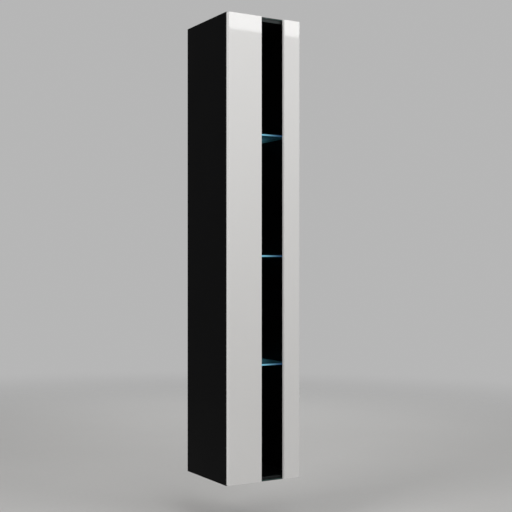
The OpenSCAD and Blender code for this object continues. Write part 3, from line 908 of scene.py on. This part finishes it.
def screw_tree():
    """A cross-slotted screw on every point: head, tapered tip and a real helical thread."""
    head_sides, shank_sides, steps_a_turn, ridge_sides = 32, 20, 14, 4
    blunt_end, overlap = 0.2, 0.2 * MM
    numbers = [(name, "NodeSocketFloat") for name in SCREW_SIZES]
    graph, given = new_tree("screws", [*numbers, ("Material", "NodeSocketMaterial")])
    head = graph.add(
        "GeometryNodeMeshCone",
        {},
        {
            "Vertices": head_sides,
            "Radius Top": given["Neck Radius"],
            "Radius Bottom": given["Head Radius"],
            "Depth": given["Head Height"],
        },
    )
    slot_height = given["Slot Depth"] * 2
    slots = []
    for long_way in (0, 1):
        width, reach = given["Slot Width"], given["Slot Length"]
        sides = {"X": reach, "Y": width} if long_way else {"X": width, "Y": reach}
        size = graph.add("ShaderNodeCombineXYZ", {}, {**sides, "Z": slot_height})
        slots.append(graph.add("GeometryNodeMeshCube", {}, {"Size": size}))
    cut_head = graph.add(
        "GeometryNodeMeshBoolean",
        {"operation": "DIFFERENCE", "solver": "EXACT"},
        {"Mesh 1": head, "Mesh 2": slots},
    )
    body_length = given["Length"] - given["Head Height"] - given["Tip"]
    core = graph.add(
        "GeometryNodeMeshCylinder",
        {},
        {
            "Vertices": shank_sides,
            "Radius": given["Core Radius"],
            "Depth": body_length + overlap,
        },
    )
    tip = graph.add(
        "GeometryNodeMeshCone",
        {},
        {
            "Vertices": shank_sides,
            "Radius Top": given["Core Radius"] * blunt_end,
            "Radius Bottom": given["Core Radius"],
            "Depth": given["Tip"],
        },
    )
    helix = graph.add(
        "GeometryNodeCurveSpiral",
        {},
        {
            "Resolution": steps_a_turn,
            "Rotations": body_length / given["Pitch"],
            "Start Radius": given["Core Radius"],
            "End Radius": given["Core Radius"],
            "Height": body_length - given["Thread Depth"] * 2,
        },
    )
    ridge = graph.add(
        "GeometryNodeCurvePrimitiveCircle",
        {},
        {"Resolution": ridge_sides, "Radius": given["Thread Depth"]},
    )
    thread = graph.add(
        "GeometryNodeCurveToMesh", {}, {"Curve": helix, "Profile Curve": ridge, "Fill Caps": True}
    )
    screw = graph.add(
        "GeometryNodeJoinGeometry",
        {},
        {
            0: [
                cut_head,
                moved(graph, core, given["Head Height"] + body_length / 2),
                moved(graph, tip, given["Length"] - given["Tip"]),
                moved(graph, thread, given["Head Height"] + given["Thread Depth"]),
            ]
        },
    )
    close_tree(graph, on_points(graph, given, screw), given["Material"])
    return graph.tree


def setting_out_tree():
    """One chosen part on every point, turned to the point's aim."""
    graph, given = new_tree(
        "setting_out",
        [
            ("Part", "NodeSocketObject"),
            ("Spin", "NodeSocketFloat"),
            ("Material", "NodeSocketMaterial"),
        ],
    )
    part = graph.add("GeometryNodeObjectInfo", {}, {"Object": given["Part"]}, "Geometry")
    close_tree(graph, on_points(graph, given, part), given["Material"])
    return graph.tree


def lamp_row_tree():
    """A row of small domed chips along X, centred on every point."""
    graph, given = new_tree(
        "lamp_row",
        [
            ("Count", "NodeSocketInt"),
            ("Spacing", "NodeSocketFloat"),
            ("Chip", "NodeSocketFloat"),
            ("Spin", "NodeSocketFloat"),
            ("Material", "NodeSocketMaterial"),
        ],
    )
    chip = given["Chip"]
    size = graph.add("ShaderNodeCombineXYZ", {}, {"X": chip * 2, "Y": chip, "Z": chip * 0.5})
    base = graph.add("GeometryNodeMeshCube", {}, {"Size": size})
    ball = graph.add(
        "GeometryNodeMeshUVSphere", {}, {"Segments": 12, "Rings": 6, "Radius": chip * 0.4}
    )
    lens = moved(graph, ball, chip * 0.2)
    package = graph.add("GeometryNodeJoinGeometry", {}, {0: [base, lens]})
    start = graph.add(
        "ShaderNodeCombineXYZ", {}, {"X": given["Spacing"] * (given["Count"] - 1) * -0.5}
    )
    step = graph.add("ShaderNodeCombineXYZ", {}, {"X": given["Spacing"]})
    line = graph.add(
        "GeometryNodeMeshLine",
        {},
        {"Count": given["Count"], "Start Location": start, "Offset": step},
    )
    row = graph.add("GeometryNodeInstanceOnPoints", {}, {"Points": line, "Instance": package})
    close_tree(graph, on_points(graph, given, row), given["Material"])
    return graph.tree


TREES = {}


def tree(maker):
    """The node tree that a maker function makes, made once."""
    if maker.__name__ not in TREES:
        TREES[maker.__name__] = maker()
    return TREES[maker.__name__]


def grown(name, group, places, values):
    """Runs a Geometry Nodes tree on (point, aim) pairs, and returns a plain mesh object."""
    points = bpy.data.meshes.new(name + "_points")
    points.from_pydata([place for place, aim in places], [], [])
    aims = points.attributes.new("aim", "FLOAT_VECTOR", "POINT")
    aims.data.foreach_set("vector", [number for place, aim in places for number in aim])
    item = bpy.data.objects.new(name, points)
    bpy.context.scene.collection.objects.link(item)
    modifier = item.modifiers.new("grow", "NODES")
    modifier.node_group = group
    sockets = {
        socket.name: socket.identifier
        for socket in group.interface.items_tree
        if socket.in_out == "INPUT"
    }
    for label, value in values.items():
        modifier[sockets[label]] = value
    plain(item)
    if not len(item.data.polygons):
        raise RuntimeError(f"{name}: its node tree made nothing")
    return smooth(item)


def set_out(name, shape, places, maker, spin=0.0):
    """Sets one part out on every place, as one object."""
    part = from_shape(name + "_pattern", shape, finish(maker))
    item = grown(
        name,
        tree(setting_out_tree),
        places,
        {"Part": part, "Spin": spin, "Material": finish(maker)},
    )
    pattern = part.data
    bpy.data.objects.remove(part)
    bpy.data.meshes.remove(pattern)
    return item


def screws(
    node, name, places, head, long, shank, head_height, pitch, flat_head=True, tip=2.5 * MM
):
    """Cross-slotted steel screws in place of a node's: head at the place, shank along its aim.

    head and shank are radii. A flat head tapers to its shank, and a pan head hardly tapers.
    """
    thread_depth = pitch * 0.30
    pan_taper, slot_length, slot_width, slot_depth = 0.96, 1.25, 0.24, 0.7
    made = grown(
        name,
        tree(screw_tree),
        places,
        {
            "Head Radius": head,
            "Neck Radius": shank if flat_head else head * pan_taper,
            "Head Height": head_height,
            "Core Radius": shank - thread_depth,
            "Length": long,
            "Tip": tip,
            "Pitch": pitch,
            "Thread Depth": thread_depth,
            "Slot Length": head * slot_length,
            "Slot Width": head * slot_width,
            "Slot Depth": head_height * slot_depth,
            "Spin": 2 * math.pi,
            "Material": finish(plated_steel),
        },
    )
    return settle(made, node)


def ends_towards(node, aim):
    """A place for each solid of a node: the middle of the end that its aim starts from."""
    places = []
    for low, high in solids(node):
        point = centre(low, high)
        for i in (X, Y, Z):
            if aim[i]:
                point[i] = low[i] if aim[i] > 0 else high[i]
        places.append((point, tuple(aim)))
    return places


def outward_places(node):
    """The same for parts along X that point away from the middle of the cabinet."""
    places = []
    for low, high in solids(node):
        point = centre(low, high)
        way = 1 if point.x > 0 else -1
        point.x = low.x if way > 0 else high.x
        places.append((point, (way, 0, 0)))
    return places


# ---- Pieces ----


class Piece:
    """What the cabinet's operators share. Each one's make() builds its pieces."""

    bl_options = {"REGISTER", "UNDO"}

    def execute(self, context):
        self.make(context.scene.cabinet_sizes)
        return {"FINISHED"}


class CABINET_OT_boards(Piece, bpy.types.Operator):
    """Make the laminated side, top and bottom boards with raw rear edges"""

    bl_idname = "cabinet.boards"
    bl_label = "Boards"

    def make(self, sizes):
        low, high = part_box("left_side_panel")

        def glued(edge):
            """Whether an edge lies under the edge band."""
            return middle(edge).y < low.y + TOUCH

        def raw(face):
            """Whether a face is the board's sawn rear edge."""
            return face.normal.y > SQUARE and face.calc_center_median().y > high.y - TOUCH

        for node in ("left_side_panel", "right_side_panel", "top_panel", "bottom_panel"):
            shape = copy_of(node)
            paint_faces(shape, 1, raw)
            ease(shape, sizes.board_arris, least=12 * MM, keep=glued)
            board = from_shape(node + "_board", shape, finish(matt_laminate), finish(raw_chipboard))
            settle(board, node)


class CABINET_OT_edge_bands(Piece, bpy.types.Operator):
    """Make the edge bands on the front of the carcass"""

    bl_idname = "cabinet.edge_bands"
    bl_label = "Edge bands"

    def make(self, sizes):
        for node in ("side_edge_bands", "cross_edge_bands"):
            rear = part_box(node)[1].y
            shape = ease(
                copy_of(node),
                sizes.band_arris,
                segments=3,
                least=12 * MM,
                keep=lambda edge: middle(edge).y > rear - TOUCH,
            )
            settle(from_shape(node + "_strips", shape, finish(edge_banding)), node)


class CABINET_OT_back(Piece, bpy.types.Operator):
    """Make the hardboard back: foil towards the shelves, screen weave towards the wall"""

    bl_idname = "cabinet.back"
    bl_label = "Back"

    def make(self, sizes):
        shape = copy_of("back_panel")
        paint_faces(shape, 1, lambda face: face.normal.y > -SLANT)
        ease(shape, sizes.board_arris / 2, segments=1, least=6 * MM)
        back = from_shape("back_sheet", shape, finish(matt_laminate), finish(screen_hardboard))
        settle(back, "back_panel")


class CABINET_OT_corner_fittings(Piece, bpy.types.Operator):
    """Make the fluted dowels, cam locks, cam bolts and cover caps of the corner joints"""

    bl_idname = "cabinet.corner_fittings"
    bl_label = "Corner fittings"

    def make(self, sizes):
        self.dowels(sizes)
        self.locks(sizes)
        self.bolts()
        self.caps()

    def dowels(self, sizes):
        radius, long = round_size("corner_dowels", Z, X)
        flutes = sizes.dowel_flutes
        outline = rod(radius, long, chamfer=1.2 * MM)
        shape = turned(outline, flutes * 4, ripple=0.35 * MM, waves=flutes)
        places = ends_towards("corner_dowels", RIGHT)
        settle(set_out("fluted_dowels", shape, places, beech), "corner_dowels")

    def locks(self, sizes):
        shape = copy_of("cam_locks")
        ease(shape, sizes.metal_arris, least=0.8 * MM)
        settle(from_shape("cam_lock_drums", shape, finish(cast_zinc)), "cam_locks")

    def bolts(self):
        long = round_size("cam_bolts", Z, X)[1]
        ball, waist, collar, root = 3.2 * MM, 2.5 * MM, 3 * MM, 1.9 * MM
        thread, neck, pitch, chamfer = 11 * MM, 8 * MM, 1.6 * MM, 0.4 * MM
        thread_start = long - thread
        neck_start = thread_start - neck
        outline = [
            (ball * 0.7, 0),
            (ball, 0.8 * MM),
            (ball, 2.2 * MM),
            (waist, 3 * MM),
            (waist, neck_start),
            (collar, neck_start + chamfer),
            (collar, thread_start - chamfer),
            (waist, thread_start),
        ]
        for turn in range(int((thread - 1 * MM) / pitch)):
            base = thread_start + turn * pitch
            outline += [(root, base + 0.35 * pitch), (waist, base + 0.7 * pitch)]
        outline += [(waist, long - 0.9 * MM), (root, long)]
        places = outward_places("cam_bolts")
        settle(set_out("cam_bolt_set", turned(outline, 24), places, plated_steel), "cam_bolts")

    def caps(self):
        radius, thick = round_size("cam_caps", X, Z)
        rim, dish, crown = 1.1 * MM, 0.2 * MM, 0.6 * MM
        outline = [
            (radius - 0.3 * MM, 0),
            (radius, 0.3 * MM),
            (radius, thick - 0.35 * MM),
            (radius - 0.15 * MM, thick - 0.1 * MM),
            (radius - 0.5 * MM, thick),
            (radius - rim, thick),
            (radius - rim - dish, thick - dish),
            (crown, thick - 0.1 * MM),
        ]
        mid_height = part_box("back_panel")[1].z / 2
        places = []
        for low, high in solids("cam_caps"):
            point = centre(low, high)
            way = 1 if point.z > mid_height else -1
            point.z = low.z if way > 0 else high.z
            places.append((point, (0, 0, way)))
        caps = set_out("cam_cap_lids", turned(outline, 40), places, black_plastic)
        settle(caps, "cam_caps")


class CABINET_OT_hangers(Piece, bpy.types.Operator):
    """Make the hangers in the upper corners with their hooks, covers, screws and wall plates"""

    bl_idname = "cabinet.hangers"
    bl_label = "Hangers"

    def make(self, sizes):
        kinds = (
            ("hanger_housings", "hanger_bodies", white_plastic, sizes.plastic_arris),
            ("hanger_hooks", "hanger_hook_plates", plated_steel, sizes.metal_arris),
            ("hanger_covers", "hanger_cover_caps", black_plastic, sizes.plastic_arris),
            ("wall_plates", "hanging_rails", plated_steel, sizes.metal_arris),
        )
        for node, name, maker, arris in kinds:
            shape = ease(copy_of(node), arris, least=1.2 * MM)
            settle(from_shape(name, shape, finish(maker)), node)
        screws(
            "hanger_adjusting_screws",
            "hook_adjusting_screws",
            ends_towards("hanger_adjusting_screws", REAR),
            *round_size("hanger_adjusting_screws", X, Y),
            shank=2.5 * MM,
            head_height=1.5 * MM,
            pitch=0.8 * MM,
            flat_head=False,
            tip=1 * MM,
        )
        screws(
            "hanger_side_screws",
            "hanger_fixing_screws",
            outward_places("hanger_side_screws"),
            *round_size("hanger_side_screws", Z, X),
            shank=2 * MM,
            head_height=1.6 * MM,
            pitch=1.4 * MM,
        )


class CABINET_OT_grommets(Piece, bpy.types.Operator):
    """Make the cable grommets behind the shelf lights"""

    bl_idname = "cabinet.grommets"
    bl_label = "Cable grommets"

    def make(self, sizes):
        long = round_size("cable_grommets", X, Y)[1]
        rim, body, bore, lip = 8.5 * MM, 6 * MM, 3 * MM, 7 * MM
        rim_height, lip_height, soft = 1 * MM, 2 * MM, 0.35 * MM
        lip_start = long - lip_height
        outline = [
            (bore + soft, 0),
            (rim - soft, 0),
            (rim, soft),
            (rim, rim_height),
            (body, rim_height),
            (body, lip_start),
            (lip, lip_start),
            (lip, lip_start + soft),
            (lip - 1 * MM, long),
            (bore + soft, long),
            (bore, long - soft),
            (bore, soft),
        ]
        places = ends_towards("cable_grommets", REAR)
        ring = turned(outline, 40, closed=True)
        settle(set_out("grommet_rings", ring, places, black_plastic), "cable_grommets")


class CABINET_OT_shelves(Piece, bpy.types.Operator):
    """Make the glass shelves with their lit front edges"""

    bl_idname = "cabinet.shelves"
    bl_label = "Glass shelves"

    def make(self, sizes):
        for place in ("lower", "middle", "upper"):
            node = place + "_glass_shelf"
            shape = copy_of(node)
            ease(shape, sizes.glass_chamfer, segments=1)
            paint_faces(shape, 1, lambda face: abs(face.normal.z) < SQUARE)
            paint_faces(shape, 2, lambda face: face.normal.y < -SLANT)
            shelf = from_shape(
                place + "_shelf", shape, finish(shelf_glass), finish(ground_edge), finish(lit_edge)
            )
            settle(shelf, node)


class CABINET_OT_shelf_supports(Piece, bpy.types.Operator):
    """Make the shelf pins and the soft pads on their ledges"""

    bl_idname = "cabinet.shelf_supports"
    bl_label = "Shelf supports"

    def make(self, sizes):
        pins = ease(copy_of("shelf_pins"), sizes.metal_arris * 0.8, least=0.6 * MM)
        settle(from_shape("shelf_pin_set", pins, finish(nickel_plate)), "shelf_pins")
        pads = ease(copy_of("shelf_pads"), 0.4 * MM, segments=3)
        settle(from_shape("shelf_pad_set", pads, finish(clear_silicone)), "shelf_pads")


class CABINET_OT_shelf_lights(Piece, bpy.types.Operator):
    """Make the edge lights: clips, frosted lenses, rows of lamps and grub screws"""

    bl_idname = "cabinet.shelf_lights"
    bl_label = "Shelf lights"

    def make(self, sizes):
        clips = ease(copy_of("shelf_light_clips"), sizes.plastic_arris, segments=3, least=1.5 * MM)
        settle(from_shape("light_clips", clips, finish(black_plastic)), "shelf_light_clips")
        lenses = ease(copy_of("shelf_light_lenses"), 0.3 * MM)
        settle(from_shape("light_lenses", lenses, finish(frosted_lens)), "shelf_light_lenses")
        screws(
            "shelf_light_screws",
            "light_screws",
            ends_towards("shelf_light_screws", UP),
            *round_size("shelf_light_screws", X, Z),
            shank=1.5 * MM,
            head_height=1 * MM,
            pitch=0.5 * MM,
            flat_head=False,
            tip=0.4 * MM,
        )
        self.lamps(sizes)

    def lamps(self, sizes):
        chip, stand = 1.2 * MM, 0.15
        places = []
        for low, high in solids("shelf_light_lenses"):
            point = centre(low, high)
            point.y = low.y - chip * stand
            places.append((point, tuple(FRONT)))
        span = high.x - low.x
        row = grown(
            "light_lamps",
            tree(lamp_row_tree),
            places,
            {
                "Count": sizes.lamps,
                "Spacing": span / sizes.lamps,
                "Chip": chip,
                "Spin": 0.0,
                "Material": finish(lamp_chip),
            },
        )
        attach(row, BODY_OF["shelf_light_lenses"])


class CABINET_OT_door_strips(Piece, bpy.types.Operator):
    """Make the wide and narrow gloss strips of the door"""

    bl_idname = "cabinet.door_strips"
    bl_label = "Gloss strips"

    def make(self, sizes):
        for node in ("door_wide_strip", "door_narrow_strip"):
            shape = copy_of(node)
            ease(shape, sizes.lacquer_arris, segments=3, least=20 * MM)
            paint_faces(shape, 1, lambda face: face.normal.y > SQUARE)
            name = node.replace("door_", "") + "_lacquered"
            settle(from_shape(name, shape, finish(gloss_lacquer), finish(satin_back)), node)


class CABINET_OT_door_glass(Piece, bpy.types.Operator):
    """Make the door's pane and the tapes that bond it"""

    bl_idname = "cabinet.door_glass"
    bl_label = "Door glass"

    def make(self, sizes):
        shape = ease(copy_of("door_glass_pane"), sizes.glass_chamfer, segments=1)
        paint_faces(shape, 1, lambda face: abs(face.normal.y) < SQUARE)
        pane = from_shape("door_pane", shape, finish(pane_glass), finish(ground_edge))
        settle(pane, "door_glass_pane")
        tapes = ease(copy_of("glass_bonding_tapes"), 0.12 * MM)
        settle(from_shape("bonding_tapes", tapes, finish(foam_tape)), "glass_bonding_tapes")


class CABINET_OT_glass_clips(Piece, bpy.types.Operator):
    """Make the clips that hold the pane, and their screws"""

    bl_idname = "cabinet.glass_clips"
    bl_label = "Glass clips"

    def make(self, sizes):
        clips = ease(copy_of("glass_clips"), sizes.metal_arris, least=1.2 * MM)
        settle(from_shape("pane_clips", clips, finish(nickel_plate)), "glass_clips")
        screws(
            "glass_clip_screws",
            "pane_clip_screws",
            ends_towards("glass_clip_screws", FRONT),
            *round_size("glass_clip_screws", X, Y),
            shank=1.4 * MM,
            head_height=1.2 * MM,
            pitch=1.1 * MM,
        )


class CABINET_OT_hinges(Piece, bpy.types.Operator):
    """Make the cup hinges: cups, pins, cranked arms, mounting plates, covers and screws"""

    bl_idname = "cabinet.hinges"
    bl_label = "Hinges"

    def make(self, sizes):
        pressed = (
            ("hinge_cups", "hinge_cup_pressings", nickel_plate, 0.8),
            ("hinge_arms", "hinge_arm_pressings", nickel_plate, 1.0),
            ("hinge_mounting_plates", "hinge_plate_castings", cast_zinc, 1.2),
            ("hinge_arm_covers", "hinge_cover_pressings", nickel_plate, 1.2),
        )
        for node, name, maker, share in pressed:
            shape = ease(copy_of(node), sizes.metal_arris * share, least=0.6 * MM)
            settle(from_shape(name, shape, finish(maker)), node)
        self.pins()
        self.fasteners()

    def pins(self):
        outline = rod(*round_size("hinge_pivot_pins", X, Z), chamfer=0.3 * MM)
        places = ends_towards("hinge_pivot_pins", UP)
        pins = set_out("hinge_pin_set", turned(outline, 24), places, plated_steel)
        settle(pins, "hinge_pivot_pins")

    def fasteners(self):
        # node, name, aim, then in mm the shank, head height and pitch; whether flat; tip in mm
        kinds = (
            ("hinge_cup_screws", "cup_screws", FRONT, 1.6, 1.2, 1.3, True, 2.5),
            ("hinge_plate_screws", "plate_screws", -RIGHT, 1.8, 1.6, 1.4, True, 2.5),
            ("hinge_fixing_screws", "arm_fixing_screws", -RIGHT, 2.4, 1.2, 0.8, False, 1.0),
            ("hinge_side_adjusters", "arm_side_adjusters", -RIGHT, 2.2, 1.2, 0.8, False, 1.0),
        )
        for node, name, aim, shank, head_height, pitch, flat, tip in kinds:
            screws(
                node,
                name,
                ends_towards(node, aim),
                *round_size(node, Z, X if aim.x else Y),
                shank=shank * MM,
                head_height=head_height * MM,
                pitch=pitch * MM,
                flat_head=flat,
                tip=tip * MM,
            )


class CABINET_OT_push_latches(Piece, bpy.types.Operator):
    """Make the push latches: housings, plungers, soft tips, strikes and screws"""

    bl_idname = "cabinet.push_latches"
    bl_label = "Push latches"

    def make(self, sizes):
        shape = ease(copy_of("push_latch_housings"), sizes.plastic_arris, segments=3, least=1 * MM)
        housings = from_shape("latch_housings", shape, finish(black_plastic))
        settle(housings, "push_latch_housings")
        self.plungers()
        self.strikes()
        screws(
            "push_latch_screws",
            "latch_screws",
            ends_towards("push_latch_screws", RIGHT),
            *round_size("push_latch_screws", Z, X),
            shank=1.5 * MM,
            head_height=1 * MM,
            pitch=1.2 * MM,
            flat_head=False,
        )

    def plungers(self):
        radius, long = round_size("push_latch_plungers", X, Y)
        grooves, groove_depth, groove_width, pitch = 4, 0.35 * MM, 1 * MM, 7 * MM
        rear_end, rear_rim, front_rim, front_end = rod(radius, long, chamfer=0.3 * MM)
        outline = [rear_end, rear_rim]
        for groove in range(1, grooves + 1):
            base = groove * pitch
            outline += [
                (radius, base),
                (radius - groove_depth, base + groove_depth),
                (radius - groove_depth, base + groove_width),
                (radius, base + groove_width + groove_depth),
            ]
        outline += [front_rim, front_end]
        places = ends_towards("push_latch_plungers", REAR)
        rods = set_out("latch_plungers_rods", turned(outline, 32), places, white_plastic)
        settle(rods, "push_latch_plungers")
        outline = dome(*round_size("push_latch_tips", X, Y))
        places = ends_towards("push_latch_tips", FRONT)
        tips = set_out("latch_soft_tips", turned(outline, 32), places, grey_rubber)
        settle(tips, "push_latch_tips")

    def strikes(self):
        radius, thick = round_size("push_latch_strikes", X, Y)
        bore, rim_chamfer, bore_chamfer = 1.4 * MM, 0.25 * MM, 0.3 * MM
        outline = [
            (bore, 0),
            (radius, 0),
            (radius, thick - rim_chamfer),
            (radius - rim_chamfer, thick),
            (bore + bore_chamfer, thick),
            (bore, thick - bore_chamfer),
        ]
        places = ends_towards("push_latch_strikes", REAR)
        ring = turned(outline, 40, closed=True)
        settle(set_out("latch_strikes", ring, places, nickel_plate), "push_latch_strikes")
        screws(
            "strike_screws",
            "latch_strike_screws",
            ends_towards("strike_screws", FRONT),
            bore,
            round_size("strike_screws", X, Y)[1],
            shank=1.35 * MM,
            head_height=0.8 * MM,
            pitch=1.1 * MM,
        )


class CABINET_OT_bumpers(Piece, bpy.types.Operator):
    """Make the soft bumpers that the closed door rests near"""

    bl_idname = "cabinet.bumpers"
    bl_label = "Door bumpers"

    def make(self, sizes):
        shape = turned(dome(*round_size("door_bumpers", X, Y)), 36)
        places = ends_towards("door_bumpers", FRONT)
        settle(set_out("bumper_buttons", shape, places, clear_silicone), "door_bumpers")


# ---- Stage ----

FLOOR_REACH = 6.0
CAMERA_PLACE = (-2.0409, -3.3604, 0.8258)
CAMERA_TURN = (math.radians(90), 0, math.radians(-27.532))
CAMERA_SHIFT = (0.1875, 0.0242)
SENSOR_WIDTH = 36
# Each light: its name, its place, the point that it faces, and its width and height.
LIGHT_PANELS = (
    ("softbox", (0.6, -2.92, 3.02), (0.6, -0.1, 1.35), (4.8, 1.0)),
    ("wash", (-3.4, -1.0, 2.0), (0, -0.2, 1.3), (1.6, 2.2)),
    ("fill", (2.2, 3.2, 2.4), (0, 0, 0.9), (2.4, 1.6)),
)


def floor_finish():
    """Pale matt floor that fades into the background towards its rim."""
    f = Finish("pale_floor")
    speck = f.noise(90, 4)
    cloud = f.noise(1.2, 3)
    away = f.add("ShaderNodeMath", {"operation": "SQRT"}, {0: f.reach_squared()})
    seen = f.add("ShaderNodeLightPath", output="Is Camera Ray")
    lit, viewed, worn = (0.58, 0.575, 0.565), (0.70, 0.695, 0.685), (0.56, 0.555, 0.545)
    paint = f.mix(seen, lit, viewed)
    matt = f.principled(
        {
            "Base Color": f.mix(speck * 0.3 + cloud * 0.3, paint, worn),
            "Roughness": 0.75 + speck * 0.1,
            "Normal": f.bump(speck, 0.1 * MM),
            "Specular IOR Level": 0.2,
        }
    )
    clear = f.add("ShaderNodeBsdfTransparent")
    share = away.ramp(0.25 * FLOOR_REACH, 0.95 * FLOOR_REACH)
    return f.done(f.add("ShaderNodeMixShader", {}, {0: share, 1: matt, 2: clear}))


class CABINET_OT_stage(bpy.types.Operator):
    """Make the pale floor, the soft studio light and the camera"""

    bl_idname = "cabinet.stage"
    bl_label = "Floor, light and camera"
    bl_options = {"REGISTER", "UNDO"}

    def execute(self, context):
        stage = context.scene.cabinet_stage
        context.scene.view_settings.view_transform = "Standard"
        self.floor(stage)
        self.surroundings(context.scene, stage)
        self.lights(stage)
        self.camera(context.scene, stage)
        return {"FINISHED"}

    def floor(self, stage):
        shape = bmesh.new()
        bmesh.ops.create_circle(
            shape,
            cap_ends=True,
            radius=FLOOR_REACH,
            segments=96,
            matrix=Matrix.Translation((0, 0, -stage.floor_drop)),
        )
        from_shape("studio_floor", shape, floor_finish())

    def surroundings(self, scene, stage):
        """Even light from all round, and a plain background."""
        scene.world = bpy.data.worlds.new("studio")
        scene.world.use_nodes = True
        graph = Graph(scene.world.node_tree)
        seen = graph.add("ShaderNodeLightPath", output="Is Camera Ray")
        around = (stage.ambient,) * 3
        behind = (stage.backdrop,) * 3
        tone = graph.add("ShaderNodeMix", {"data_type": "RGBA"}, {0: seen, 6: around, 7: behind}, 2)
        glow = graph.add("ShaderNodeBackground", {}, {"Color": tone})
        graph.add("ShaderNodeOutputWorld", {}, {"Surface": glow})

    def lights(self, stage):
        """Soft panels of light that the camera doesn't see."""
        for name, place, target, size in LIGHT_PANELS:
            data = bpy.data.lights.new(name, "AREA")
            data.shape = "RECTANGLE"
            data.size, data.size_y = size
            data.energy = getattr(stage, name + "_power")
            panel = bpy.data.objects.new(name, data)
            aim = Vector(target) - Vector(place)
            panel.location = place
            panel.rotation_euler = aim.to_track_quat("-Z", "Y").to_euler()
            panel.visible_camera = False
            bpy.context.scene.collection.objects.link(panel)

    def camera(self, scene, stage):
        data = bpy.data.cameras.new("camera")
        data.sensor_width = SENSOR_WIDTH
        data.lens = stage.lens
        data.shift_x, data.shift_y = CAMERA_SHIFT
        camera = bpy.data.objects.new("camera", data)
        camera.location = CAMERA_PLACE
        camera.rotation_euler = CAMERA_TURN
        scene.collection.objects.link(camera)
        scene.camera = camera


# ---- Add-on ----


OPERATORS = (
    CABINET_OT_boards,
    CABINET_OT_edge_bands,
    CABINET_OT_back,
    CABINET_OT_corner_fittings,
    CABINET_OT_hangers,
    CABINET_OT_grommets,
    CABINET_OT_shelves,
    CABINET_OT_shelf_supports,
    CABINET_OT_shelf_lights,
    CABINET_OT_door_strips,
    CABINET_OT_door_glass,
    CABINET_OT_glass_clips,
    CABINET_OT_hinges,
    CABINET_OT_push_latches,
    CABINET_OT_bumpers,
    CABINET_OT_stage,
)

GROUPS = (
    ("cabinet_sizes", CabinetSizes),
    ("cabinet_colours", CabinetColours),
    ("cabinet_stage", CabinetStage),
)


class CABINET_PT_panel(bpy.types.Panel):
    """Lists the cabinet's settings and its pieces"""

    bl_label = "Display cabinet"
    bl_idname = "CABINET_PT_panel"
    bl_space_type = "VIEW_3D"
    bl_region_type = "UI"
    bl_category = "Cabinet"

    def draw(self, context):
        for operator in OPERATORS:
            self.layout.operator(operator.bl_idname)
        for name, group in GROUPS:
            box = self.layout.box()
            for setting in group.__annotations__:
                box.prop(getattr(context.scene, name), setting)


def register():
    for name, group in GROUPS:
        bpy.utils.register_class(group)
        setattr(bpy.types.Scene, name, PointerProperty(type=group))
    for cls in (*OPERATORS, CABINET_PT_panel):
        bpy.utils.register_class(cls)


def unregister():
    for cls in reversed((*OPERATORS, CABINET_PT_panel)):
        bpy.utils.unregister_class(cls)
    for name, group in reversed(GROUPS):
        delattr(bpy.types.Scene, name)
        bpy.utils.unregister_class(group)


def main():
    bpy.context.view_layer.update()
    register()
    for operator in OPERATORS:
        family, name = operator.bl_idname.split(".")
        getattr(getattr(bpy.ops, family), name)()


if __name__ == "__main__":
    main()
